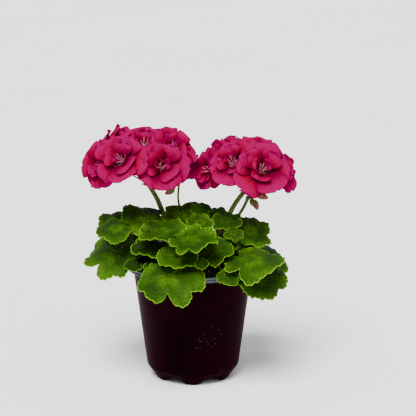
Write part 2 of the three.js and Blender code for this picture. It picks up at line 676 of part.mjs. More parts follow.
// Each spray: its main stalk, and for each bud where it hangs, the way its tip points, its length and radius.
const SPRAYS = {
  bud_spray_right: {
    path: [SHOOTS.right.curve.getPointAt(0.8), vec(35, -3, 142), vec(43, -5, 153), vec(50, -9, 168)],
    radius: 1.5,
    buds: [
      [vec(57, -12, 171), [-8, -18], 11, 3.2],
      [vec(54, -13, 166), [-30, -62], 10, 3],
      [vec(52, -6, 164), [60, -50], 8, 2.4],
    ],
  },
  bud_spray_middle: {
    path: [SHOOTS.back.curve.getPointAt(0.7), vec(-10, 13, 148), vec(-13, 5, 162), vec(-12, -4, 180)],
    radius: 1,
    buds: [
      [vec(-16, -5, 174), [180, -28], 10, 2.9],
      [vec(-12, -4, 181), [140, 35], 5, 2.1],
    ],
  },
};

function spraySolid({ path, radius, buds }) {
  const main = new THREE.CatmullRomCurve3(path);
  const pieces = [solidOf(stalkGeometry(main, 5, 4, (t) => radius * (1.15 - 0.2 * t)))];
  const hub = path[path.length - 1];
  for (const [at, way, length, width] of buds) {
    const tip = heading(...way);
    const bend = hub.clone().lerp(at, 0.5).addScaledVector(UP, 1.6);
    const stalk = new THREE.CatmullRomCurve3([hub.clone(), bend, at.clone().addScaledVector(tip, 1)]);
    pieces.push(solidOf(stalkGeometry(stalk, 3, 4, () => 0.8)));
    pieces.push(budSolid(at, tip, length, width));
  }
  return joined(pieces);
}

// The whole plant

const COLOURS = {
  pot: { color: 0x1c0a0f, roughness: 0.45, metalness: 0 },
  soil: { color: 0x1a120c, roughness: 1, metalness: 0 },
  stem: { color: 0x55642a, roughness: 0.7, metalness: 0 },
  leaf: { color: 0x4a8a17, roughness: 0.6, metalness: 0 },
  stalk: { color: 0x5d7425, roughness: 0.6, metalness: 0 },
  petal: { color: 0xd80459, roughness: 0.65, metalness: 0 },
};

const plant = new THREE.Group();

function addPiece(name, solid, look) {
  const mesh = new THREE.Mesh(geometryOf(solid), new THREE.MeshStandardMaterial(COLOURS[look]));
  mesh.name = name;
  plant.add(mesh);
}

addPiece("pot", potSolid(), "pot");
addPiece("soil", soilSolid(), "soil");
addPiece("stem", stemSolid(0), "stem");
const stemRoom = stemSolid(CLEARANCE);
LEAVES.forEach((leaf, i) => addPiece(leaf[0], solidOf(leafSkin(leaf, i)), "leaf"));
Object.entries(HEADS).forEach(([side, head], i) => {
  addPiece(`flower_stalks_${side}`, headStalks(head, 0, 30 * i).subtract(stemRoom), "stalk");
  addPiece(`petals_${side}`, headPetals(head, 30 * i), "petal");
});
for (const [name, spray] of Object.entries(SPRAYS)) {
  addPiece(name, spraySolid(spray).subtract(stemRoom), "stalk");
}

export default plant;
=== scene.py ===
"""A potted geranium: the fine leaves, petals, stalks, buds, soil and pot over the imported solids.

Lengths are in millimetres, in the frame of the part, and turn to metres when a mesh is made.
"""

import math

import bpy
import numpy as np
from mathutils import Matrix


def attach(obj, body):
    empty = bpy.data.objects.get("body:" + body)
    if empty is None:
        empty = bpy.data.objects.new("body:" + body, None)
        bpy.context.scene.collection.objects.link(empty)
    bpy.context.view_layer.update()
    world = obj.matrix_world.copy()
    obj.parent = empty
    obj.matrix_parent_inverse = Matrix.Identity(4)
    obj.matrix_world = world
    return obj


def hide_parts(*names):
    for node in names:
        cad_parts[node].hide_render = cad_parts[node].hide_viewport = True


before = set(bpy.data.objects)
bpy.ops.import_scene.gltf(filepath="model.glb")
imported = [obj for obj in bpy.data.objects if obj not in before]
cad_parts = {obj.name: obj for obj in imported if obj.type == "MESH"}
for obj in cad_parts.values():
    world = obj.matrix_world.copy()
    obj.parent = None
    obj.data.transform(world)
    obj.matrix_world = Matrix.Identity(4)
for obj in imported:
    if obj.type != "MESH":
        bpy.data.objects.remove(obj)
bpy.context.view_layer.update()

MM = 0.001

# The pot and its filling
RIM_RADIUS = 60
POT_HEIGHT = 106.5
RIM_BAND = 4.4
RIM_LIP = 2.2
RIM_GROOVE = 0.7
BODY_TOP_RADIUS = 54
BODY_LOW_RADIUS = 41.6
CHAMFER_HEIGHT = 11.5
FOOT_RADIUS = 34.6
FOOT_WIDTH = 5.6
FOOT_HEIGHT = 4.5
FOOT_COUNT = 6
FLOOR_RISE = 2.4
CENTRE_PAD_RADIUS = 13
WALL = 1.3
BAND_LOW = POT_HEIGHT - RIM_BAND
BAND_MIDDLE = POT_HEIGHT - RIM_BAND / 2
FOOT_INNER_RADIUS = FOOT_RADIUS - FOOT_WIDTH
INNER_LOW_RADIUS = BODY_LOW_RADIUS - WALL
INNER_LOW_HEIGHT = CHAMFER_HEIGHT + 0.7
INNER_TOP_RADIUS = BODY_TOP_RADIUS - WALL + 0.6
INNER_TOP_HEIGHT = BAND_LOW + WALL
POT_SIDES = 144
DRAIN_RADIUS = 2.6
DRAIN_BOTTOM = -1
DRAIN_TOP = 9
DRAIN_SIDES = 20
DRIED_DROPS = (15, -47, 50)
SOIL_TOP = 95
SOIL_DOME = 1.8
SOIL_ROUGHNESS = 1.6
SOIL_SIDES = 120
SOIL_RINGS = 26
CRUMB_COUNT = 420
GRIT_EVERY = 19
STEM_RADIUS = 4.4
STEM_DEPTH = 26
STEM_PIT_RADIUS = 3.2
STEM_PIT_DEPTH = 6
JOINT_LENGTH = 11
CLEARANCE = 0.3

# The leaves, whose blades reach a little past those of the part
LEAF_THICKNESS = 0.45
BRACT_THICKNESS = 0.3
LEAF_STALK_RADIUS = 1.15
LOBE_COUNT = 7
LOBE_SPACING = math.radians(48)
LAST_LEAF_ANGLE = math.radians(163)
LEAF_COLUMNS = 168
LEAF_ROWS = 14
LEAF_GROWTH = 1.06
LEAF_LENGTH = 0.95
LEAF_WIDTH = 1.1
TEETH_TURN = 18.5

# The flowers, whose petals do so too
PETAL_THICKNESS = 0.35
PETAL_GROWTH = 1.05
PETAL_POINTS = 15
PETAL_WIDEST = 0.68
PETAL_WIDTH = 0.6
PETAL_FRILL = 0.085
INNER_FRILL = 0.1
PETAL_COUNT = 5
INNER_PETAL_COUNT = 3
PETALOID_COUNT = 2
STAMEN_COUNT = 7
PEDUNCLE_RADIUS = 1.9
PEDICEL_RADIUS = 0.7
HUB_RADIUS = 3.1
CALYX_LENGTH = 5
SEPAL_COUNT = 5
BUD_SIDES = 30
BUD_ROWS = 18

# The camera and the light, in metres
CAMERA_DISTANCE = 1.6
CAMERA_ELEVATION = math.radians(13.5)
CAMERA_TARGET = (0.0137, 0, 0.1555)
CAMERA_LENS_MM = 154.62
SENSOR_WIDTH_MM = 36
FLOOR_CORNERS = [(-3, -3, 0), (3, -3, 0), (3, 3, 0), (-3, 3, 0)]
FILL_PLACE = (1.6, -1.4, 0.9)
FILL_TARGET = (0, 0, 0.12)
FILL_SIZE = 1.2
FILL_POWER = 6
SUN_STRENGTH = 7.8
SUN_SPREAD = math.radians(32)
SUN_TILT = math.radians(34)
SUN_TURN = math.radians(-14)
SKY_STRENGTH = 0.7


def vec(*numbers):
    return np.array(numbers, float)


UP = vec(0, 0, 1)


def unit(v):
    return v / np.linalg.norm(v)


def chance(key):
    """A number from 0 to 1 that is always the same for the same key."""
    value = math.sin(key * 12.9898 + 4.1414) * 43758.5453
    return value - math.floor(value)


def smoothstep(low, high, x):
    """0 below low and 1 above high, with a soft rise between them."""
    t = np.clip((x - low) / (high - low), 0, 1)
    return t * t * (3 - 2 * t)


def heading(azimuth, elevation):
    """The unit vector that points to an azimuth and an elevation in degrees."""
    a, e = math.radians(azimuth), math.radians(elevation)
    return vec(math.cos(a) * math.cos(e), math.sin(a) * math.cos(e), math.sin(e))


def round_turns(sides):
    return np.arange(sides) * 2 * math.pi / sides


def circle(radius, height, turns):
    """A ring of points around the z axis."""
    return np.stack([radius * np.cos(turns), radius * np.sin(turns), height + 0 * turns], axis=1)


# Curves

SPLINE_STEPS = 40
BEZIER_SAMPLES = 60


class Path:
    """A curve through sampled points, walked by its length."""

    def __init__(self, samples):
        self.points = np.array(samples)
        steps = np.linalg.norm(np.diff(self.points, axis=0), axis=1)
        self.along = np.concatenate([[0], np.cumsum(steps)]) / steps.sum()
        self.length = steps.sum()

    def at(self, share):
        return np.array([np.interp(share, self.along, self.points[:, k]) for k in range(3)])

    def tangent(self, share):
        return unit(self.at(min(1, share + 0.004)) - self.at(max(0, share - 0.004)))


def spline(points):
    """A smooth curve through points, without overshoot where they are close."""
    p = [2 * points[0] - points[1], *points, 2 * points[-1] - points[-2]]
    samples = []
    for i in range(1, len(p) - 2):
        a, b, c, d = p[i - 1 : i + 3]
        t0, t1, t2 = (np.linalg.norm(v) ** 0.5 for v in (b - a, c - b, d - c))
        out = ((b - a) / t0 - (c - a) / (t0 + t1) + (c - b) / t1) * t1
        into = ((c - b) / t1 - (d - b) / (t1 + t2) + (d - c) / t2) * t1
        for k in range(SPLINE_STEPS + (i == len(p) - 3)):
            t = k / SPLINE_STEPS
            cubic = (2 * t**3 - 3 * t**2 + 1) * b + (t**3 - 2 * t**2 + t) * out
            samples.append(cubic + (3 * t**2 - 2 * t**3) * c + (t**3 - t**2) * into)
    return Path(samples)


def bezier(a, b, c, d):
    """A curve from a to d that leaves towards b and arrives from c."""
    t = np.linspace(0, 1, BEZIER_SAMPLES)[:, None]
    return Path((1 - t) ** 3 * a + 3 * t * (1 - t) ** 2 * b + 3 * t**2 * (1 - t) * c + t**3 * d)


# Meshes


def stand(name, data):
    """A new object in the scene."""
    made = bpy.data.objects.new(name, data)
    bpy.context.collection.objects.link(made)
    return made


class Skin:
    """Points, faces, the material of each face and the fields of each point, of one mesh in the making."""

    def __init__(self, *fields):
        self.points, self.faces, self.looks, self.count = [], [], [], 0
        self.fields = {name: [] for name in fields}

    def add(self, points, faces, look=0, **fields):
        points = np.asarray(points, float).reshape(-1, 3)
        for face in faces:
            self.faces.append([v + self.count for v in face])
            self.looks.append(look)
        self.points.append(points)
        for name, kept in self.fields.items():
            kept.append(np.broadcast_to(np.asarray(fields.get(name, 0.0), float).reshape(-1), len(points)))
        self.count += len(points)

    def make(self, name, materials, slot, nodes):
        """The finished piece, in the place of the part's nodes."""
        mesh = bpy.data.meshes.new(name)
        mesh.from_pydata((np.concatenate(self.points) * MM).tolist(), [], self.faces)
        for field, kept in self.fields.items():
            mesh.attributes.new(field, "FLOAT", "POINT").data.foreach_set("value", np.concatenate(kept))
        mesh.polygons.foreach_set("material_index", self.looks)
        mesh.polygons.foreach_set("use_smooth", [True] * len(self.faces))
        for material in materials:
            mesh.materials.append(material)
        mesh.update()
        piece = stand(name, mesh)
        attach(piece, "root")
        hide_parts(*nodes)
        return piece


def sheet(skin, grid, thickness, look=0, **fields):
    """A closed thin sheet on a grid of points: its rows go outwards and its columns turn left."""
    rows, columns = grid.shape[:2]
    normal = np.cross(np.gradient(grid, axis=0), np.gradient(grid, axis=1))
    normal /= np.maximum(np.linalg.norm(normal, axis=2, keepdims=True), 1e-9)
    at = np.arange(rows * columns).reshape(rows, columns)
    quads = np.stack([at[:-1, :-1], at[1:, :-1], at[1:, 1:], at[:-1, 1:]], axis=2).reshape(-1, 4)
    low = quads[:, ::-1] + rows * columns
    edge = np.concatenate([at[:-1, 0], at[-1, :-1], at[:0:-1, -1], at[0, :0:-1]])
    after = np.roll(edge, -1)
    side = np.stack([edge, edge + rows * columns, after + rows * columns, after], axis=1)
    lift = normal * thickness / 2
    points = np.concatenate([(grid + lift).reshape(-1, 3), (grid - lift).reshape(-1, 3)])
    spread = {name: np.broadcast_to(values, (rows, columns)).reshape(-1) for name, values in fields.items()}
    doubled = {name: np.tile(values, 2) for name, values in spread.items()}
    skin.add(points, np.concatenate([quads, low, side]).tolist(), look, **doubled)


def rings(skin, circles, look=0, **fields):
    """Rings of points joined one to the next, closed by a point at each end."""
    count, sides = len(circles), len(circles[0])
    points = np.concatenate([*circles, [circles[0].mean(0)], [circles[-1].mean(0)]])
    faces = []
    for i in range(count - 1):
        for j in range(sides):
            a, b = i * sides + j, i * sides + (j + 1) % sides
            faces.append([a, b, b + sides, a + sides])
    end = (count - 1) * sides
    for j in range(sides):
        k = (j + 1) % sides
        faces += [[count * sides, k, j], [count * sides + 1, end + j, end + k]]
    closed = {name: np.append(values, [values[0], values[-1]]) for name, values in fields.items()}
    skin.add(points, faces, look, **closed)


def tube(skin, path, radius_at, steps, sides, look=0):
    """A round stalk along a path, as thick as radius_at says at each share of it."""
    circles = []
    across = np.cross(path.tangent(0), [0.31, 0.52, 0.79])
    turns = round_turns(sides)
    for i in range(steps + 1):
        share = i / steps
        tangent = path.tangent(share)
        across = unit(across - tangent * across.dot(tangent))
        aside = np.cross(tangent, across)
        spokes = np.outer(np.cos(turns), across) + np.outer(np.sin(turns), aside)
        circles.append(path.at(share) + spokes * radius_at(share))
    rings(skin, circles, look)


def basis(tip, face):
    """The frame of a blade as rows: x to its tip, z out of its upper face."""
    z = unit(face)
    x = unit(tip - z * tip.dot(z))
    return np.array([x, np.cross(z, x), z])


def around(axes, turn):
    """The way that a turn about the blade's z points, from its x."""
    return math.cos(turn) * axes[0] + math.sin(turn) * axes[1]


# Materials

# The sockets of a colour mix, by their number
MIX_FACTOR = 0
MIX_FIRST = 6
MIX_SECOND = 7
MIX_RESULT = 2


class Look:
    """A procedural material, built by short calls."""

    def __init__(self, name, **sockets):
        self.material = bpy.data.materials.new(name)
        self.material.use_nodes = True
        self.tree = self.material.node_tree
        self.shader = self.tree.nodes["Principled BSDF"]
        for socket, value in sockets.items():
            self.shader.inputs[socket.replace("_", " ")].default_value = value

    def put(self, socket, value):
        """Links a socket to a value that is worked out, or sets it to a plain one."""
        if isinstance(value, bpy.types.NodeSocket):
            self.tree.links.new(value, socket)
        else:
            socket.default_value = value

    def field(self, name):
        node = self.tree.nodes.new("ShaderNodeAttribute")
        node.attribute_name = name
        return node.outputs["Fac"]

    def place(self, stretch=(1, 1, 1)):
        texture = self.tree.nodes.new("ShaderNodeTexCoord")
        mapping = self.tree.nodes.new("ShaderNodeMapping")
        mapping.inputs["Scale"].default_value = stretch
        self.tree.links.new(texture.outputs["Object"], mapping.inputs["Vector"])
        return mapping.outputs["Vector"]

    def join(self, x, y, z):
        node = self.tree.nodes.new("ShaderNodeCombineXYZ")
        for socket, value in zip(node.inputs, (x, y, z)):
            self.put(socket, value)
        return node.outputs[0]

    def math(self, operation, a, b=0.0):
        node = self.tree.nodes.new("ShaderNodeMath")
        node.operation = operation
        for socket, value in zip(node.inputs, (a, b)):
            self.put(socket, value)
        return node.outputs[0]

    def times(self, a, b):
        return self.math("MULTIPLY", a, b)

    def plus(self, a, b):
        return self.math("ADD", a, b)

    def minus(self, a, b):
        return self.math("SUBTRACT", a, b)

    def larger(self, a, b):
        return self.math("MAXIMUM", a, b)

    def off_whole(self, value):
        """How far a value is from the nearest whole number."""
        return self.math("ABSOLUTE", self.minus(value, self.math("ROUND", value)))

    def span(self, value, low, high, to_low=0.0, to_high=1.0):
        """A soft step from to_low to to_high as the value goes from low to high."""
        node = self.tree.nodes.new("ShaderNodeMapRange")
        node.interpolation_type = "SMOOTHSTEP"
        for socket, number in zip(node.inputs, (value, low, high, to_low, to_high)):
            self.put(socket, number)
        return node.outputs[0]

    def noise(self, scale, detail=3.0, vector=None, rough=0.55):
        node = self.tree.nodes.new("ShaderNodeTexNoise")
        self.put(node.inputs["Vector"], vector or self.place())
        node.inputs["Scale"].default_value = scale
        node.inputs["Detail"].default_value = detail
        node.inputs["Roughness"].default_value = rough
        return node.outputs["Fac"]

    def cells(self, scale, feature="DISTANCE_TO_EDGE"):
        node = self.tree.nodes.new("ShaderNodeTexVoronoi")
        node.feature = feature
        self.put(node.inputs["Vector"], self.place())
        node.inputs["Scale"].default_value = scale
        return node.outputs["Distance"]

    def near(self, point, inner, outer):
        """1 within inner mm of a point of the part, falling to 0 at outer mm."""
        node = self.tree.nodes.new("ShaderNodeVectorMath")
        node.operation = "DISTANCE"
        self.put(node.inputs[0], self.place())
        node.inputs[1].default_value = vec(*point) * MM
        return self.span(node.outputs["Value"], inner * MM, outer * MM, 1.0, 0.0)

    def mix(self, factor, a, b):
        node = self.tree.nodes.new("ShaderNodeMix")
        node.data_type = "RGBA"
        self.put(node.inputs[MIX_FACTOR], factor)
        for socket, colour in ((MIX_FIRST, a), (MIX_SECOND, b)):
            plain = not isinstance(colour, bpy.types.NodeSocket)
            self.put(node.inputs[socket], (*colour, 1) if plain else colour)
        return node.outputs[MIX_RESULT]

    def finish(self, colour, roughness, height=None, depth=None, strength=None):
        """The material, given its colour, its roughness and, where it has one, its relief."""
        self.put(self.shader.inputs["Base Color"], colour)
        self.put(self.shader.inputs["Roughness"], roughness)
        if height is not None:
            bump = self.tree.nodes.new("ShaderNodeBump")
            bump.inputs["Distance"].default_value = depth
            bump.inputs["Strength"].default_value = strength
            self.put(bump.inputs["Height"], height)
            self.put(self.shader.inputs["Normal"], bump.outputs["Normal"])
        return self.material


def leaf_look():
    """Soft green with paler veins to each lobe, a net between them and a thin yellow-green margin; painted
    light and shade make each leaf lighter or darker, and painted shade darkens the blade between the lobes.
    """
    look = Look("leaf", Specular_IOR_Level=0.07)
    share, angle, tone = look.field("share"), look.field("angle"), look.field("tone")
    off = look.off_whole(look.math("DIVIDE", angle, LOBE_SPACING))
    beside = look.times(look.times(off, LOBE_SPACING), share)
    width = look.span(share, 0.0, 1.0, 0.02, 0.006)
    main = look.span(look.math("DIVIDE", beside, width), 0.4, 1.6, 1.0, 0.0)
    step = look.off_whole(look.times(look.minus(share, look.times(beside, 1.15)), 7.0))
    branch = look.times(look.span(step, 0.03, 0.14, 0.75, 0.0), look.span(share, 0.12, 0.3))
    net = look.span(look.cells(420), 0.0, 0.09, 1.0, 0.0)
    veins = look.larger(main, branch)
    patches = look.noise(55, 3)
    cloud = look.span(look.noise(38, 3), 0.36, 0.64)
    # Painted light and shade: each leaf's green is mixed between a shaded and a lit copy by its own value,
    # partly the leaf's tone and mostly how lit it is
    painted_shade_green = look.mix(cloud, (0.0028, 0.012, 0.0002), (0.0095, 0.036, 0.0004))
    painted_lit_green = look.mix(cloud, (0.016, 0.058, 0.0004), (0.06, 0.155, 0.0008))
    green = look.mix(tone, painted_shade_green, painted_lit_green)
    zone = look.times(look.span(share, 0.28, 0.5), look.span(share, 0.6, 0.85, 0.5, 0.0))
    green = look.mix(zone, green, (0.0022, 0.0095, 0.0002))
    # Painted shade: the blade is darkened between the lobes, where its pleats would lie in shade
    fold = look.times(look.span(off, 0.12, 0.5, 0.0, 0.34), look.span(share, 0.2, 0.6))
    green = look.mix(fold, green, (0.005, 0.025, 0.0002))
    green = look.mix(look.times(net, 0.2), green, (0.02, 0.06, 0.001))
    green = look.mix(look.times(veins, 0.42), green, (0.05, 0.12, 0.003))
    margin = look.span(look.plus(share, look.times(patches, 0.03)), 0.975, 1.0, 0.0, 0.9)
    green = look.mix(margin, green, (0.15, 0.33, 0.006))
    relief = look.minus(look.times(look.noise(900, 2), 0.2), veins)
    relief = look.plus(relief, look.times(look.span(look.cells(420), 0.0, 0.3), 0.5))
    return look.finish(green, look.span(patches, 0.2, 0.8, 0.42, 0.6), relief, 0.0009, 0.9)


def stalk_look(name, low, high, scale=140):
    """Green skin with faint streaks along it, between two tones."""
    look = Look(name, Specular_IOR_Level=0.2, Sheen_Weight=0.08)
    streaks = look.noise(scale, 3, look.place((1, 1, 0.25)))
    colour = look.mix(look.span(streaks, 0.32, 0.68), low, high)
    return look.finish(colour, 0.62, look.noise(1400, 2), 0.0003, 0.6)


def petal_look():
    """Magenta to crimson petals with painted shade in the throat, and fine veins fanning to the edge."""
    look = Look("petal", Specular_IOR_Level=0.0)
    along, across, tone = look.field("along"), look.field("across"), look.field("tone")
    fan = look.join(look.times(across, 7.0), look.times(along, 1.3), look.times(tone, 9.0))
    veins = look.noise(2.2, 4, fan)
    patches = look.noise(70, 3)
    warm = look.plus(look.times(patches, 0.6), look.times(tone, 0.4))
    body = look.mix(look.span(warm, 0.3, 0.7), (0.195, 0.0, 0.018), (0.2, 0.0, 0.036))
    body = look.mix(look.times(look.span(veins, 0.5, 0.66), 0.5), body, (0.06, 0.0, 0.005))
    edge = look.times(look.span(along, 0.55, 1.0), 0.7)
    body = look.mix(edge, body, (0.225, 0.0, 0.066))
    # Painted shade, deep towards each petal's base where the heart of the floret would be shaded
    painted_throat_shade = look.times(look.span(along, 0.12, 0.8, 1.0, 0.0), 0.9)
    body = look.mix(painted_throat_shade, body, (0.025, 0.0, 0.002))
    heart = look.times(look.span(along, 0.02, 0.2, 1.0, 0.0), look.span(veins, 0.42, 0.6))
    body = look.mix(heart, body, (0.55, 0.16, 0.26))
    height = look.plus(look.times(veins, 0.7), look.times(look.noise(500, 2), 0.2))
    return look.finish(body, 0.6, height, 0.0005, 0.7)


def plain_look(name, low, high, rough, scale, depth=0.0002):
    """A grainy look between two tones."""
    look = Look(name, Specular_IOR_Level=0.2)
    grain = look.noise(scale, 3)
    return look.finish(look.mix(look.span(grain, 0.35, 0.65), low, high), rough, grain, depth, 0.6)


def bud_look():
    """Closed buds: olive sepals with dark red between them and at the tip."""
    look = Look("bud", Specular_IOR_Level=0.2, Sheen_Weight=0.06)
    along, across = look.field("along"), look.field("across")
    seam = look.span(look.math("ABSOLUTE", look.minus(across, 0.5)), 0.16, 0.34)
    tip = look.span(along, 0.4, 0.85)
    red = look.larger(look.times(seam, look.span(along, 0.15, 0.6)), look.times(tip, 0.7))
    olive = look.mix(look.span(look.noise(260, 3), 0.35, 0.65), (0.045, 0.07, 0.003), (0.12, 0.16, 0.01))
    return look.finish(look.mix(red, olive, (0.25, 0.001, 0.045)), 0.55, look.noise(900, 2), 0.0003, 0.7)


def pot_look():
    """Near-black maroon plastic: faint mould grain, scuffs, and dried drops of water on one side."""
    look = Look("pot", Specular_IOR_Level=0.003, Sheen_Weight=0.04)
    look.shader.inputs["Sheen Tint"].default_value = (0.6, 0.01, 0.12, 1)
    haze = look.noise(26, 4)
    colour = look.mix(look.span(haze, 0.35, 0.7), (0.0015, 0.0002, 0.0006), (0.0042, 0.0003, 0.0013))
    drops = look.span(look.cells(380, feature="F1"), 0.1, 0.24, 1.0, 0.0)
    thin = look.span(look.noise(150, 2), 0.44, 0.54)
    spots = look.times(look.times(drops, thin), look.near(DRIED_DROPS, 9, 16))
    few = look.times(drops, look.span(look.noise(40, 2), 0.64, 0.7))
    spots = look.larger(spots, look.times(few, 0.5))
    colour = look.mix(look.times(spots, 0.5), colour, (0.1, 0.095, 0.1))
    rough = look.plus(look.span(haze, 0.2, 0.8, 0.3, 0.46), look.times(spots, 0.3))
    return look.finish(colour, rough, look.noise(1100, 2), 0.00006, 0.5)


def rim_look():
    """Worn slate-grey plastic, with painted shade in the groove."""
    look = Look("pot_rim", Specular_IOR_Level=0.25)
    wear = look.noise(90, 4, look.place((1, 1, 2.5)))
    groove = look.field("groove")
    colour = look.mix(look.span(wear, 0.35, 0.68), (0.022, 0.026, 0.034), (0.065, 0.075, 0.1))
    # Painted shade along the rim's groove
    colour = look.mix(look.times(groove, 0.85), colour, (0.004, 0.004, 0.006))
    return look.finish(colour, look.span(wear, 0.3, 0.7, 0.36, 0.55), look.noise(900, 2), 0.0001, 0.5)


def soil_look():
    """Dark brown crumbs with a few paler fibres."""
    look = Look("soil", Specular_IOR_Level=0.1)
    crumbs = look.noise(240, 5, rough=0.7)
    colour = look.mix(look.span(crumbs, 0.35, 0.7), (0.0025, 0.0017, 0.001), (0.022, 0.014, 0.008))
    fibres = look.span(look.noise(160, 3, look.place((1, 3.5, 1))), 0.66, 0.72)
    colour = look.mix(look.times(fibres, 0.6), colour, (0.06, 0.04, 0.02))
    return look.finish(colour, 0.95, crumbs, 0.0014, 1.0)


LEAF = leaf_look()
LEAF_STALK = stalk_look("leaf_stalk", (0.03, 0.055, 0.004), (0.07, 0.11, 0.01))
STEM = stalk_look("stem", (0.02, 0.032, 0.008), (0.055, 0.07, 0.015), 90)
FLOWER_STALK = stalk_look("flower_stalk", (0.045, 0.06, 0.005), (0.085, 0.11, 0.012))
PETAL = petal_look()
FILAMENT = plain_look("filament", (0.45, 0.1, 0.2), (0.6, 0.3, 0.38), 0.5, 300)
ANTHER = plain_look("anther", (0.22, 0.03, 0.03), (0.4, 0.15, 0.1), 0.7, 900)
BUD = bud_look()
SEPAL = stalk_look("sepal", (0.035, 0.06, 0.004), (0.085, 0.12, 0.012))
POT = pot_look()
RIM = rim_look()
SOIL = soil_look()
GRIT = plain_look("grit", (0.06, 0.055, 0.048), (0.22, 0.2, 0.18), 0.9, 500, 0.0005)

# The pot


def arch_at(angle):
    """How high the pot's lower edge is lifted at an angle, from 0 under a foot."""
    from_foot = (1 - math.cos(FOOT_COUNT * (angle + math.pi / 2))) / 2
    return FOOT_HEIGHT * float(smoothstep(0.08, 0.86, from_foot))


def rounded(corners, radius, steps):
    """An outline with its corners rounded."""
    out = [corners[0]]
    for before, corner, after in zip(corners, corners[1:], corners[2:]):
        a, c, b = (np.array(p, float) for p in (before, corner, after))
        back = min(radius, 0.45 * np.linalg.norm(a[:2] - c[:2])) / np.linalg.norm(a[:2] - c[:2])
        fore = min(radius, 0.45 * np.linalg.norm(b[:2] - c[:2])) / np.linalg.norm(b[:2] - c[:2])
        p, q = c + (a - c) * back, c + (b - c) * fore
        for k in range(steps + 1):
            t = k / steps
            out.append(tuple((1 - t) ** 2 * p + 2 * t * (1 - t) * c + t**2 * q))
    out.append(corners[-1])
    return out


# The pot's outline, from the middle of its underside over the rim to the middle of its floor. Each corner has
# a radius, a height and the share of the arches between the feet that it follows.
POT_OUTSIDE = [
    (0, 0, 0),
    (CENTRE_PAD_RADIUS, 0, 0),
    (CENTRE_PAD_RADIUS + 2, FLOOR_RISE, 0),
    (FOOT_INNER_RADIUS - 2.2, FLOOR_RISE, 0),
    (FOOT_INNER_RADIUS, 0, 1),
    (FOOT_RADIUS - 1, 0, 1),
    (FOOT_RADIUS + 0.2, 1.6, 0.9),
    (BODY_LOW_RADIUS, CHAMFER_HEIGHT, 0),
    (BODY_TOP_RADIUS, BAND_LOW, 0),
]
POT_RIM = [
    POT_OUTSIDE[-1],
    (RIM_RADIUS, BAND_LOW, 0),
    (RIM_RADIUS, BAND_MIDDLE - RIM_GROOVE, 0),
    (RIM_RADIUS - RIM_GROOVE, BAND_MIDDLE, 0),
    (RIM_RADIUS, BAND_MIDDLE + RIM_GROOVE, 0),
    (RIM_RADIUS, POT_HEIGHT, 0),
    (RIM_RADIUS - RIM_LIP, POT_HEIGHT, 0),
    (INNER_TOP_RADIUS, INNER_TOP_HEIGHT, 0),
]
POT_INSIDE = [
    POT_RIM[-1],
    (INNER_LOW_RADIUS, INNER_LOW_HEIGHT, 0),
    (FOOT_RADIUS - WALL - 1, WALL + 0.4, 1),
    (FOOT_INNER_RADIUS, WALL + 0.4, 1),
    (FOOT_INNER_RADIUS - 2, FLOOR_RISE + WALL, 0),
    (0, FLOOR_RISE + WALL, 0),
]


def painted_groove_shade_at(radius, height):
    """How much painted shade the rim's groove gets: 1 in its middle, falling to 0 beside it."""
    if radius <= RIM_RADIUS - 2:
        return 0.0
    return math.exp(-(((height - BAND_MIDDLE) / 0.55) ** 2))


def make_pot():
    outside = rounded(POT_OUTSIDE, radius=1.6, steps=4)
    rim = rounded(POT_RIM, radius=0.45, steps=3)
    inside = rounded(POT_INSIDE, radius=1.0, steps=3)
    profile = outside[1:] + rim[1:] + inside[1:-1]
    turns = round_turns(POT_SIDES)
    lifts = np.array([arch_at(turn) for turn in turns])
    circles = [circle(radius, height + share * lifts, turns) for radius, height, share in profile]
    groove = [painted_groove_shade_at(radius, height) for radius, height, _ in profile]
    skin = Skin("groove")
    rings(skin, circles, groove=np.repeat(groove, POT_SIDES))
    band_start = (len(outside) - 2) * POT_SIDES
    band_end = band_start + (len(rim) - 1) * POT_SIDES
    skin.looks = [int(band_start <= i < band_end) for i in range(len(skin.faces))]
    pot = skin.make("flower_pot", [POT, RIM], "pot", ["pot"])
    cut_drains(pot)


def cut_drains(pot):
    """Cuts a round drain hole between each two feet."""
    holes = Skin()
    for i in range(FOOT_COUNT):
        angle = 2 * math.pi * (i + 0.5) / FOOT_COUNT - math.pi / 2
        middle = (FOOT_RADIUS - FOOT_WIDTH / 2 - 0.6) * vec(math.cos(angle), math.sin(angle), 0)
        disc = circle(DRAIN_RADIUS, 0, round_turns(DRAIN_SIDES)) + middle
        rings(holes, [disc + DRAIN_BOTTOM * UP, disc + DRAIN_TOP * UP])
    cutter_mesh = bpy.data.meshes.new("drains")
    cutter_mesh.from_pydata((np.concatenate(holes.points) * MM).tolist(), [], holes.faces)
    cutter = stand("drains", cutter_mesh)
    cut = pot.modifiers.new("drains", "BOOLEAN")
    cut.operation = "DIFFERENCE"
    cut.object = cutter
    cut.solver = "EXACT"
    graph = bpy.context.evaluated_depsgraph_get()
    drained = bpy.data.meshes.new_from_object(pot.evaluated_get(graph))
    pot.modifiers.clear()
    pot.data = drained
    bpy.data.objects.remove(cutter)


# The soil


def inner_wall_radius(height):
    spread, rise = INNER_TOP_RADIUS - INNER_LOW_RADIUS, INNER_TOP_HEIGHT - INNER_LOW_HEIGHT
    return INNER_LOW_RADIUS + spread * (height - INNER_LOW_HEIGHT) / rise


def soil_height(radius, angle, share):
    """The soil's surface, domed a little and rough, at a radius that is a share of the soil's own."""
    crumbs = np.sin(radius * 0.9 + 3 * angle) * np.cos(5 * angle - radius * 0.31)
    clods = np.sin(2 * angle + 1) * np.cos(radius * 0.13)
    roughness = SOIL_ROUGHNESS * (0.6 * crumbs + 0.7 * clods)
    return SOIL_TOP + SOIL_DOME * (1 - share) + roughness * min(1, (1 - share) * 4 + 0.3)


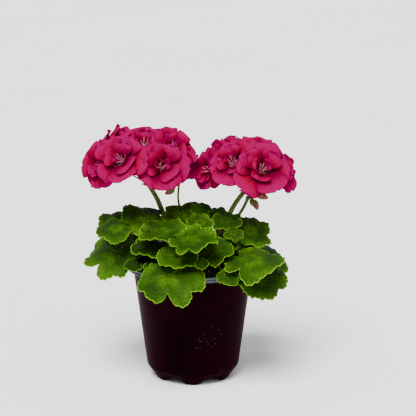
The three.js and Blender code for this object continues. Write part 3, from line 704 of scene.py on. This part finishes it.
def crumb(skin, at, size, key, look):
    """A small angular crumb."""
    circles = []
    for row, (rise, spread) in enumerate(((-0.7, 0.55), (-0.1, 1.0), (0.5, 0.75), (0.85, 0.3))):
        turns = np.arange(6) * math.pi / 3 + chance(key + row)
        wide = spread * np.array([0.7 + 0.6 * chance(key * 3 + row * 7 + j) for j in range(6)])
        circles.append(at + size * circle(wide, rise * 0.8, turns))
    rings(skin, circles, look)


def make_soil():
    skin = Skin()
    top_radius = inner_wall_radius(SOIL_TOP) - CLEARANCE - 0.3
    turns = round_turns(SOIL_SIDES)
    circles = [circle(STEM_PIT_RADIUS, SOIL_TOP - STEM_PIT_DEPTH, turns)]
    for share in np.linspace(0.1, 0.97, SOIL_RINGS):
        radius = share * top_radius
        fine = 0.5 * np.sin(radius * 2.3 + 11 * turns) * np.cos(17 * turns - radius * 1.7)
        circles.append(circle(radius, soil_height(radius, turns, share) + fine, turns))
    circles.append(circle(top_radius, SOIL_TOP - 2, turns))
    circles.append(circle(INNER_LOW_RADIUS - 0.6, CHAMFER_HEIGHT + 1.4, turns))
    circles.append(circle(FOOT_RADIUS - WALL - 1.2, FOOT_HEIGHT + WALL + 0.7, turns))
    rings(skin, [points[::-1] for points in circles])
    for key in range(CRUMB_COUNT):
        radius = 7 + (top_radius - 10) * math.sqrt(chance(key * 1.7 + 3))
        angle = 2 * math.pi * chance(key * 2.3 + 11)
        size = 0.6 + 1.4 * chance(key * 3.1 + 5) ** 2
        height = soil_height(radius, angle, radius / top_radius) + 0.2 * size
        at = vec(radius * math.cos(angle), radius * math.sin(angle), height)
        crumb(skin, at, size, key, key % GRIT_EVERY == 0)
    skin.make("potting_soil", [SOIL, GRIT], "soil", ["soil"])


# The stem: the points of each shoot, and its radius at the root and at the tip
SHOOTS = {
    "main": ([(0, 0, SOIL_TOP - STEM_DEPTH + 1), (0, 0, 96), (0.5, -0.5, 114)], (STEM_RADIUS, 4)),
    "left": ([(0, 0, 106), (-11, -1, 115), (-19, -1, 128), (-22, -1, 140)], (3.4, 2.6)),
    "right": ([(0, 0, 108), (11, -3, 117), (19, -4, 129), (23, -4, 138)], (3.4, 2.6)),
    "back": ([(0, 0, 109), (-2, 9, 118), (-3, 16, 131), (-3, 18, 142)], (3.4, 2.4)),
    "front": ([(0, 0, 103), (-1, -10, 110), (-2, -17, 120), (-3, -20, 130)], (3.4, 2.4)),
}
SHOOTS = {name: (spline([vec(*p) for p in points]), radii) for name, (points, radii) in SHOOTS.items()}


def on_shoot(name, share):
    return SHOOTS[name][0].at(share)


def make_stem():
    skin = Skin()
    for name, (path, radii) in SHOOTS.items():
        joints = path.length / JOINT_LENGTH

        def radius_at(share):
            knuckle = 0.16 * math.exp(-((((share * joints) % 1) - 0.5) / 0.16) ** 2)
            end = math.sqrt(max(0.02, 1 - max(0, (share - 0.94) / 0.06) ** 2))
            return (radii[0] + (radii[1] - radii[0]) * share) * (0.95 + knuckle) * end

        tube(skin, path, radius_at, steps=36, sides=14)
        if name != "main":
            for k in range(3):
                way = unit(heading(360 * k / 3 + 40, 50) + path.tangent(1))
                bract(skin, path.at(0.97), way, UP, length=6.5, width=2)
    skin.make("branched_stem", [STEM], "stem", ["stem"])


def bract(skin, at, way, up, length, width, look=0, bend=0.25):
    """A small pointed leaf-like scale."""
    x, y, z = basis(way, up + 0.001 * way)
    if abs(unit(way).dot(unit(up))) > 0.98:
        x, y, z = basis(way, vec(1, 0.3, 0))
    along = np.linspace(0, 1, 7)[:, None]
    across = np.linspace(-1, 1, 5)[None, :]
    half = width / 2 * np.sin(math.pi * (0.16 + 0.84 * along) ** 0.8) ** 0.9 + 0.02
    u, v = along * length + 0 * across, across * half
    w = bend * length * along**2 * 0.5 - 0.3 * v**2
    grid = at + u[..., None] * x + v[..., None] * y + w[..., None] * z
    sheet(skin, grid, BRACT_THICKNESS, look)


# The leaves: name, where the stalk meets the blade, the way the tip points, the way the face looks, size,
# bowl, the shoot and its share where the stalk starts, and how light its green is, mostly painted light and
# shade
LEAVES = [
    ("front_left_low", (-20, -65, 111), (-56, -42), (-92, 54), 26.5, -0.14, "front", 0.3, 0.55),
    ("left_low", (-69, -20, 120), (-166, 0), (-120, 54), 25, -0.12, "left", 0.3, 0.6),
    ("left_middle", (-66.5, -26, 144), (-160, -14), (-112, 72), 16.5, -0.1, "left", 0.62, 0.6),
    ("left_top_back", (-73, 20, 141), (150, -4), (-110, 68), 12, -0.18, "left", 0.8, 0.9),
    ("left_back_edge", (-79, 15, 126.5), (178, -20), (-165, 60), 11, -0.16, "left", 0.4, 0.8),
    ("left_top", (-39.5, -7.5, 148.7), (-158, 0), (-86, 72), 21.5, -0.1, "left", 0.8, 0.75),
    ("front_left_upper", (-29, -37.5, 142), (-50, -6), (-84, 68), 19.5, 0.2, "left", 0.8, 0.5),
    ("front_centre_bright", (-2.5, -60, 140.6), (-14, -12), (-90, 77), 21.5, 0.08, "front", 0.9, 0.9),
    ("top_small", (6.5, -18.5, 146.5), (-88, -22), (-84, 56), 11.5, 0.26, "right", 0.55, 0.6),
    ("upper_centre", (-11, -8, 152), (-120, -10), (-86, 58), 14, -0.08, "front", 0.98, 0.8),
    ("top_centre", (4, 6, 155.5), (-100, -14), (-88, 66), 12, -0.18, "back", 0.85, 0.9),
    ("top_back_right", (22, 23, 141.5), (20, -6), (-75, 56), 13, -0.14, "back", 0.8, 0.8),
    ("top_right", (29, -15, 148), (-70, -28), (-84, 60), 13, 0.04, "right", 0.72, None),
    ("right_small", (36, -32, 141), (-76, -34), (-86, 52), 8, -0.1, "right", 0.62, 0.45),
    ("right_top", (51, -10.5, 137), (34, 2), (-70, 62), 18, -0.14, "right", 0.66, 0.7),
    ("right_young", (48, -18, 126), (-80, -26), (-86, 58), 6.5, 0.1, "right", 0.58, None),
    ("front_right", (50, -51, 121.5), (-40, -24), (-88, 76), 25.5, -0.1, "right", 0.42, 0.65),
    ("right_edge", (74, -17, 110), (-20, -24), (-58, 56), 11.5, -0.12, "right", 0.42, 0.5),
    ("right_low", (59, -48, 107), (-60, -34), (-80, 56), 21, -0.12, "right", 0.18, 0.5),
    ("front_right_rim", (31, -64, 111), (-96, -40), (-86, 56), 9, -0.1, "right", 0.25, None),
    ("front_centre_ruffled", (-13, -57, 126), (-84, -24), (-92, 60), 16, 0.14, "front", 0.8, 0.7),
    ("front_left_dark", (-35, -38, 128.5), (-130, -14), (-100, 66), 16, 0.1, "left", 0.45, 0.2),
    ("front_left_small", (-32, -50, 115), (-120, -30), (-96, 58), 9, 0.06, "left", 0.1, 0.5),
    ("left_rim_small", (-51, -42, 114), (-140, -24), (-108, 60), 8, 0.06, "left", 0.15, None),
    ("front_right_dark", (18, -42, 128.6), (-76, -24), (-84, 58), 16, 0.08, "front", 0.55, 0.2),
    ("front_bud", (8, -67, 122.5), (-70, -44), (-86, 46), 5.5, 0.16, "front", 0.2, 0.7),
    ("right_inner", (30, -30, 130), (-70, -20), (-84, 64), 9, -0.06, "right", 0.5, None),
    ("back_top", (-9, 24, 152), (104, -4), (100, 74), 13, -0.1, "back", 0.93, 0.8),
    ("back_right_low", (64, 24, 110.5), (10, -24), (-20, 56), 19, -0.12, "right", 0.15, None),
    ("back_right_corner", (44, 61, 109), (52, -30), (54, 60), 20, -0.12, "right", 0.05, None),
    ("back_low", (1, 71, 111), (88, -32), (88, 58), 23, -0.12, "back", 0.2, None),
    ("back_left_corner", (-40, 60, 110), (126, -30), (124, 60), 19, -0.12, "back", 0.16, None),
    ("back_left_low", (-68, 30, 112), (158, -24), (158, 64), 21, -0.12, "left", 0.22, None),
    ("back_right_middle", (34, 28, 132.5), (-10, -20), (-62, 54), 18, -0.12, "right", 0.75, None),
    ("back_middle", (13, 50, 137), (72, -16), (78, 68), 18, -0.12, "back", 0.55, None),
    ("back_left_middle", (-26, 49, 132), (118, -22), (116, 64), 20, -0.12, "back", 0.42, None),
    ("left_back_middle", (-56, 26, 128), (-160, -30), (-115, 46), 19, -0.12, "left", 0.7, None),
]

# The clefts that are deeper or shallower than the rest, by their number from the tip
CLEFTS = {
    "front_left_low": {-1: 0.42, -2: 0.12},
    "left_low": {1: 0.4},
    "front_right": {-2: 0.38},
    "front_centre_bright": {-2: 0.4},
}


def leaf_edge(angle, seed, clefts):
    """How far the blade reaches at each angle from its tip: a kidney shape with lobes, clefts and teeth."""
    kidney = 0.2 * np.cos(angle) + np.sqrt(1 - (0.2 * np.sin(angle)) ** 2)
    between = np.abs(angle) / LOBE_SPACING + 0.5
    cleft = np.clip(np.floor(between + 0.5), 1, (LOBE_COUNT - 1) / 2)
    side = np.where(angle < 0, -1, 1)
    usual = lambda c, s: 0.06 + 0.26 * chance(seed * 7 + c + 30 + 10 * s) ** 2
    depth = np.array([clefts.get(c * s, usual(c, s)) for c, s in zip(cleft, side)])
    edge = kidney * (1 - depth * np.maximum(0, 1 - np.abs(between - cleft) / 0.5) ** 2.2)
    teeth = np.abs(np.sin(angle * TEETH_TURN + 2 * math.pi * chance(seed * 9)))
    return edge * (1 - 0.05 * (1 - teeth**0.7))


def leaf_height(share, angle, bowl, seed):
    """The rise of the blade: its bowl, a pleat to each lobe, waves, a frilled edge and a quilted face."""
    phase = 2 * math.pi * chance(seed * 3 + 1)
    pleat = -0.06 * share * (1 - 0.6 * share**2) * np.cos(2 * math.pi * angle / LOBE_SPACING)
    wave = 0.1 * share**2.5 * np.sin(3 * angle + phase)
    twist = 0.06 * share**2 * np.sin(angle + 2 * phase)
    frill = 0.035 * share**5 * np.sin(5.3 * angle + 3 * phase)
    frill = frill + 0.012 * share**6 * np.sin(TEETH_TURN * angle + phase)
    quilt = 0.011 * np.sin(share * 26 + phase) * np.sin(15 * angle) * share
    return bowl * share**2 + pleat + wave + twist + frill + quilt


def leaf_blade(skin, at, axes, size, bowl, seed, clefts, tone):
    shares = np.linspace(0.015, 1, LEAF_ROWS + 1)[:, None] ** 0.85
    turns = np.linspace(-LAST_LEAF_ANGLE, LAST_LEAF_ANGLE, LEAF_COLUMNS + 1)
    edge = leaf_edge(turns, seed, clefts)[None, :]
    open_to = 1 + (math.pi / LAST_LEAF_ANGLE - 1) * (1.01 - smoothstep(0.55, 1.0, shares))
    angle = turns[None, :] * open_to
    radius = shares * size * LEAF_GROWTH * edge
    height = size * leaf_height(radius / size, angle, bowl, seed)
    ahead = (LEAF_LENGTH * radius * np.cos(angle))[..., None] * axes[0]
    aside = (LEAF_WIDTH * radius * np.sin(angle))[..., None] * axes[1]
    grid = at + (ahead + aside) + height[..., None] * axes[2]
    sheet(skin, grid, LEAF_THICKNESS, share=shares, angle=angle, tone=tone)


def leaf_stalk(skin, at, face, size, shoot, share):
    """The stalk from the shoot to the blade, bent outwards over the rim, with two stipules at its foot."""
    path, radii = SHOOTS[shoot]
    centre, along = path.at(share), path.tangent(share)
    seat = at - centre
    seat = unit(seat - along * seat.dot(along))
    start = centre + seat * (radii[0] + (radii[1] - radii[0]) * share + CLEARANCE - 0.5)
    reach = at - start
    length = np.linalg.norm(reach)
    out = unit(reach * (1, 1, 0))
    away = unit(out + 0.75 * UP)
    over_rim = -0.65 if at[2] < POT_HEIGHT + 2 else -0.2 if at[2] < POT_HEIGHT + 11 else 0
    into = unit(0.6 * face + 0.6 * out + over_rim * UP)
    stalk = bezier(start, start + away * 0.4 * length, at - into * 0.35 * length, at)
    thick = LEAF_STALK_RADIUS * min(1, 0.45 + size / 45)
    flare = lambda t: thick * (1.3 - 0.4 * t + 0.25 * math.exp(-(t * 14) ** 2)) * (1 if t < 0.97 else 0.8)
    tube(skin, stalk, flare, steps=22, sides=8, look=1)
    for turn_by in (-1, 1):
        side = unit(np.cross(seat, UP)) * turn_by
        foot, way = start + side * thick * 0.6, unit(side + 0.8 * UP + 0.4 * seat)
        bract(skin, foot, way, seat, length=4, width=2.4, look=1)


def make_leaf(row, seed):
    name, place, tip_way, face_way, size, bowl, shoot, share, tone = row
    at = vec(*place)
    axes = basis(heading(*tip_way), heading(*face_way))
    # The last column is mostly painted light and shade; a leaf without one gets a random low value
    if tone is None:
        tone = 0.15 + 0.3 * chance(seed * 13 + 2)
    skin = Skin("share", "angle", "tone")
    leaf_blade(skin, at, axes, size, bowl, seed, CLEFTS.get(name, {}), tone)
    leaf_stalk(skin, at, axes[2], size, shoot, share)
    skin.make("fine_leaf_" + name, [LEAF, LEAF_STALK], "leaf", ["leaf_" + name])


# The flowers: each floret's place from the end of its head's stalk, the way it faces and its size
LEFT_FLORETS = [
    ((-20, -27, 25), (-114, 33), 22.5),
    ((12, -28, 20), (-78, 28), 22.5),
    ((-3, -11, 34), (-84, 56), 20),
    ((-22, -3, 33), (-135, 54), 18.5),
    ((-37, -12, 19), (-135, 20), 21),
    ((20, -11, 31), (-50, 45), 21.5),
    ((28, -8, 22), (-42, 22), 17.5),
    ((-33, 9, 29), (-178, 36), 21),
    ((11, 9, 32), (-50, 66), 20.5),
    ((-20, 25, 21), (125, 34), 20),
    ((3, 31, 19), (85, 34), 20),
    ((22, 22, 20), (45, 30), 19),
]
RIGHT_FLORETS = [
    ((13, -27, 22), (-78, 36), 24.5),
    ((-10, -22, 27), (-112, 36), 21.5),
    ((-17, -1, 28), (-150, 46), 22.5),
    ((-29, -9, 19.5), (-142, 20), 19),
    ((8, 3, 28), (-80, 62), 22),
    ((29, -6, 18), (-35, 22), 18.5),
    ((24, 9, 22), (-20, 46), 20),
    ((-15, 24, 22), (118, 32), 20),
    ((11, 26, 21), (74, 32), 20),
]

# The heads: the main stalk, the florets, and the number that their chances start from
HEADS = {
    "left": {
        "path": [on_shoot("left", 0.97), vec(-27, 9, 149), vec(-32, 8, 162), vec(-40, 0, 178)],
        "florets": LEFT_FLORETS,
        "seed": 0,
    },
    "right": {
        "path": [on_shoot("right", 0.97), vec(30, -3, 146), vec(38, -2, 160), vec(47, 0, 172)],
        "florets": RIGHT_FLORETS,
        "seed": 30,
    },
}


def floret_place(hub, floret, key):
    """Where a floret's heart is, the way it faces, and its axes."""
    centre, way, _ = floret
    face = heading(*way)
    return hub + vec(*centre), face, basis(heading(360 * chance(key * 11), 20), face)


def petal(skin, at, axes, size, angle, length, width, rise_at, key, frill, tilt, hollow):
    """One ruffled petal, narrow at its claw and rounded above. rise_at gives its height by its reach."""
    v = np.sin(np.linspace(0, 0.5, PETAL_POINTS) * math.pi)[:, None] ** 0.9
    u = np.linspace(-1, 1, PETAL_POINTS)[None, :]
    phase, other = 2 * math.pi * chance(key), 2 * math.pi * chance(key + 0.37)
    below = np.sin(math.pi / 2 * np.clip(v / PETAL_WIDEST, 0, 1)) ** 0.8
    above = np.sqrt(np.maximum(0, 1 - ((v - PETAL_WIDEST) / 0.323) ** 2))
    side = u * width * size * (0.06 + 0.94 * np.where(v < PETAL_WIDEST, below, above))
    reach = length * size * (0.05 + 0.95 * v + 0.025 * v**4 * np.sin(5 * u + other))
    share = np.sqrt(reach**2 + side**2) / size
    ripple = np.abs(u) ** 1.5 * np.sin(6 * v + phase + 2.2 * np.sign(u)) + 0.6 * np.sin(4.5 * u + other) * v
    height = rise_at(share) + tilt * u * v + hollow * u**2 * v
    height = height + frill * v**2 * (1 - 0.4 * v**6) * ripple
    height = height + 0.4 * frill * v * np.sin(6.5 * u + other) * np.sin(7 * v + phase)
    height = size * (height - 0.03 * np.exp(-((u / 0.2) ** 2)) * v * (1 - v) * 2)
    x = reach * math.cos(angle) - side * math.sin(angle)
    y = reach * math.sin(angle) + side * math.cos(angle)
    grid = at + x[..., None] * axes[0] + y[..., None] * axes[1] + height[..., None] * axes[2]
    sheet(skin, grid, PETAL_THICKNESS, along=v, across=u, tone=chance(key * 3.3))


def outer_petals(skin, at, axes, size, key, cup):
    """The broad petals, over and under each other by turns, shorter where they point up."""
    for k in range(PETAL_COUNT):
        sign = 1 if (k + key) % 2 else -1
        rise = lambda s: cup(s) + 0.05 * sign * s
        turn = (2 * k + 1) * (math.pi / PETAL_COUNT)
        upward = around(axes, turn)[2]
        long = 1 + 0.2 * (chance(key * 5 + k) - 0.5)
        long *= 1 - 0.16 * max(0, upward) ** 3
        lean, hollow = 0.12 * (chance(key * 3 + k) - 0.5), 0.14 * (chance(key * 19 + k) - 0.6)
        petal(skin, at, axes, size, turn, long, PETAL_WIDTH, rise, key * 10 + k, PETAL_FRILL, lean, hollow)


def inner_petals(skin, at, axes, size, key, cup):
    """The smaller petals over the broad ones, and the two curled ones at the heart."""
    for k in range(INNER_PETAL_COUNT):
        top = 0.12 * chance(key * 12 + k)
        rise = lambda s: cup(s) + 0.09 * np.clip(s / 0.3, 0, 1) + top * s
        long, wide = 0.5 + 0.2 * chance(key * 21 + k), 0.34 + 0.16 * chance(key * 7 + k)
        turn = 2 * math.pi / INNER_PETAL_COUNT * (k + 0.8 * chance(key * 15 + k))
        hollow = 0.16 * chance(key * 23 + k)
        petal(skin, at, axes, size, turn, long, wide, rise, key * 10 + k + 5, INNER_FRILL, 0, hollow)
    for k in range(PETALOID_COUNT):
        turn = math.pi * (k + chance(key * 2.1))
        rise = lambda s: 0.06 + 0.34 * np.clip(s / 0.3, 0, 1.3)
        own = key * 10 + k + 11
        petal(skin, at, axes, size, turn, 0.27, 0.2, rise, own, frill=0.06, tilt=0.05, hollow=0.12)


def stamens(skin, at, face, axes, size, key):
    for k in range(STAMEN_COUNT):
        turn = 2 * math.pi * (k + 0.6 * chance(key * 6 + k)) / STAMEN_COUNT
        out = (0.1 + 0.12 * chance(key * 4 + k)) * size
        high = (0.3 + 0.14 * chance(key * 8 + k)) * size
        way = around(axes, turn)
        root, low = at + way * 0.6, at + way * 0.8 + face * high * 0.4
        bend, end = at + way * out * 0.7 + face * high * 0.8, at + way * out + face * high
        tube(skin, bezier(root, low, bend, end), lambda t: 0.34 - 0.14 * t, steps=5, sides=5, look=1)
        pod = Path([end - face * 0.1 - way * 0.55, end, end + face * 0.1 + way * 0.55])
        tube(skin, pod, lambda t: 0.1 + 0.42 * math.sin(math.pi * t), steps=4, sides=5, look=2)


def make_floret(skin, hub, floret, key):
    at, face, axes = floret_place(hub, floret, key)
    size = PETAL_GROWTH * floret[2]
    wave = 0.3 * (chance(key * 27) - 0.4)
    cup = lambda s: 0.02 + (0.78 + wave) * s - (0.52 + wave) * s**2
    outer_petals(skin, at, axes, size, key, cup)
    inner_petals(skin, at, axes, size, key, cup)
    stamens(skin, at, face, axes, size, key)


def calyx(skin, top, axes, face):
    for k in range(SEPAL_COUNT):
        out = around(axes, math.radians(72 * k + 10))
        at = top - face * 1.2 + out * 0.9
        bract(skin, at, unit(out + 0.42 * face), -face, length=6.5, width=2.1, look=1, bend=-0.12)


def make_head(side, head):
    hub = head["path"][-1]
    petals, stalks = Skin("along", "across", "tone"), Skin()
    thickness = lambda t: PEDUNCLE_RADIUS * (1.34 - 0.25 * t + 0.2 * t**30)
    tube(stalks, spline(head["path"]), thickness, steps=40, sides=12)
    knob = []
    for latitude in np.radians([-80, -50, -20, 10, 40, 80]):
        knob.append(hub + HUB_RADIUS * circle(np.cos(latitude), np.sin(latitude), round_turns(16)))
    rings(stalks, knob)
    for k in range(9):
        way = heading(40 * k, -35 + 25 * (k % 2))
        bract(stalks, hub + 1.5 * heading(40 * k, 0), way, UP, length=4.6, width=3, bend=-0.3)
    for i, floret in enumerate(head["florets"]):
        key = i + 1 + head["seed"]
        make_floret(petals, hub, floret, key)
        at, face, axes = floret_place(hub, floret, key)
        top = at - face * 0.35
        low = top - face * CALYX_LENGTH
        root = hub + (low - hub) * 0.06
        path = spline([root, hub + (low - hub) * 0.5 + 1.5 * UP, low, top])
        foot = lambda t: PEDICEL_RADIUS * (1 + 0.25 * math.exp(-(t * 12) ** 2))
        tube(stalks, path, lambda t: foot(t) + float(smoothstep(0.82, 1, t)), steps=20, sides=8)
        calyx(stalks, top, axes, face)
    petals.make("fine_petals_" + side, [PETAL, FILAMENT, ANTHER], "petal", ["petals_" + side])
    stalks.make("fine_flower_stalks_" + side, [FLOWER_STALK, SEPAL], "stalk", ["flower_stalks_" + side])


# The buds: the main stalk of each spray and its radius, and each bud's place, way, length and radius
SPRAYS = {
    "bud_spray_right": {
        "path": [on_shoot("right", 0.8), vec(35, -3, 142), vec(43, -5, 153), vec(50, -9, 168)],
        "radius": 1.5,
        "buds": [
            [(57, -12, 171), (-8, -18), 11, 3.2],
            [(54, -13, 166), (-30, -62), 10, 3],
            [(52, -6, 164), (60, -50), 8, 2.4],
        ],
    },
    "bud_spray_middle": {
        "path": [on_shoot("back", 0.7), vec(-10, 13, 148), vec(-13, 5, 162), vec(-12, -4, 180)],
        "radius": 1,
        "buds": [
            [(-16, -5, 174), (180, -28), 10, 2.9],
            [(-12, -4, 181), (140, 35), 5, 2.1],
        ],
    },
}


# Half the outline of a bud, as shares of its radius and length
BUD_OUTLINE = [(0.05, 0), (0.62, 0.06), (1, 0.34), (0.86, 0.62), (0.42, 0.9), (0.04, 1)]


def make_bud(skin, at, way, length, radius):
    profile = spline([vec(wide, 0, high) for wide, high in BUD_OUTLINE])
    axes = basis(vec(0.3, 0.9, 0.2), way)
    turns = round_turns(BUD_SIDES)
    fold = 1 + 0.06 * np.cos(SEPAL_COUNT * turns)
    ring = np.outer(np.cos(turns) * fold, axes[0]) + np.outer(np.sin(turns) * fold, axes[1])
    circles, along = [], []
    for row in range(BUD_ROWS + 1):
        spread, _, rise = profile.at(row / BUD_ROWS)
        circles.append(at + ring * spread * radius + axes[2] * rise * length)
        along += [rise] * BUD_SIDES
    across = np.tile((turns * SEPAL_COUNT / (2 * math.pi) + 0.5) % 1, BUD_ROWS + 1)
    rings(skin, circles, look=1, along=np.array(along), across=across)
    for k in range(SEPAL_COUNT):
        out = around(axes, 2 * math.pi * (k + 0.5) / SEPAL_COUNT)
        start = at + out * radius * 0.55 + axes[2] * 0.4
        bract(skin, start, unit(axes[2] + 0.5 * out), out, length * 0.72, radius, look=2, bend=-0.3)


def make_spray(name, spray):
    skin = Skin("along", "across")
    thickness = lambda t: spray["radius"] * (1.15 - 0.2 * t + 0.35 * t**20)
    tube(skin, spline(spray["path"]), thickness, steps=40, sides=10)
    hub = spray["path"][-1]
    for k in range(5):
        bract(skin, hub, heading(72 * k, -10), UP, length=4.5, width=2, look=2, bend=-0.4)
    for at, way, length, radius in spray["buds"]:
        tip, at = heading(*way), vec(*at)
        stalk = spline([hub, hub + (at - hub) * 0.5 + 1.6 * UP, at + tip])
        tube(skin, stalk, lambda t: 0.72 + 0.25 * t, steps=14, sides=8)
        make_bud(skin, at, tip, length, radius)
    skin.make("fine_" + name, [FLOWER_STALK, BUD, SEPAL], "stalk", [name])


make_pot()
make_soil()
make_stem()
for number, leaf_row in enumerate(LEAVES):
    make_leaf(leaf_row, number + 1)
for side_name, flower_head in HEADS.items():
    make_head(side_name, flower_head)
for spray_name, spray_plan in SPRAYS.items():
    make_spray(spray_name, spray_plan)

# The camera, straight from the front and a little from above

camera = stand("camera", bpy.data.cameras.new("camera"))
camera.location = (
    CAMERA_TARGET[0],
    -CAMERA_DISTANCE * math.cos(CAMERA_ELEVATION),
    CAMERA_TARGET[2] + CAMERA_DISTANCE * math.sin(CAMERA_ELEVATION),
)
camera.rotation_euler = (math.pi / 2 - CAMERA_ELEVATION, 0, 0)
camera.data.sensor_width = SENSOR_WIDTH_MM
camera.data.lens = CAMERA_LENS_MM
bpy.context.scene.camera = camera

# The floor, the light and the sky

floor_mesh = bpy.data.meshes.new("floor")
floor_mesh.from_pydata(FLOOR_CORNERS, [], [(0, 1, 2, 3)])
floor = stand("floor", floor_mesh)
floor_look = Look("floor", Specular_IOR_Level=0.1)
paper = floor_look.mix(floor_look.noise(3, 2), (0.86, 0.86, 0.86), (0.9, 0.9, 0.9))
floor.data.materials.append(floor_look.finish(paper, 0.9))

fill_data = bpy.data.lights.new("fill", "AREA")
fill_data.shape = "DISK"
fill_data.size = FILL_SIZE
fill_data.energy = FILL_POWER
fill = stand("fill", fill_data)
fill.location = FILL_PLACE
fill_way = vec(*FILL_TARGET) - vec(*FILL_PLACE)
fill_tilt = math.acos(-fill_way[2] / np.linalg.norm(fill_way))
fill.rotation_euler = (fill_tilt, 0, math.atan2(fill_way[1], fill_way[0]) - math.pi / 2)

sun_data = bpy.data.lights.new("key", "SUN")
sun_data.energy = SUN_STRENGTH
sun_data.angle = SUN_SPREAD
sun = stand("key", sun_data)
sun.rotation_euler = (SUN_TILT, 0, SUN_TURN)

world = bpy.data.worlds.new("world")
world.use_nodes = True
sky = world.node_tree.nodes["Background"]
sky.inputs["Color"].default_value = (1, 1, 1, 1)
sky.inputs["Strength"].default_value = SKY_STRENGTH
bpy.context.scene.world = world
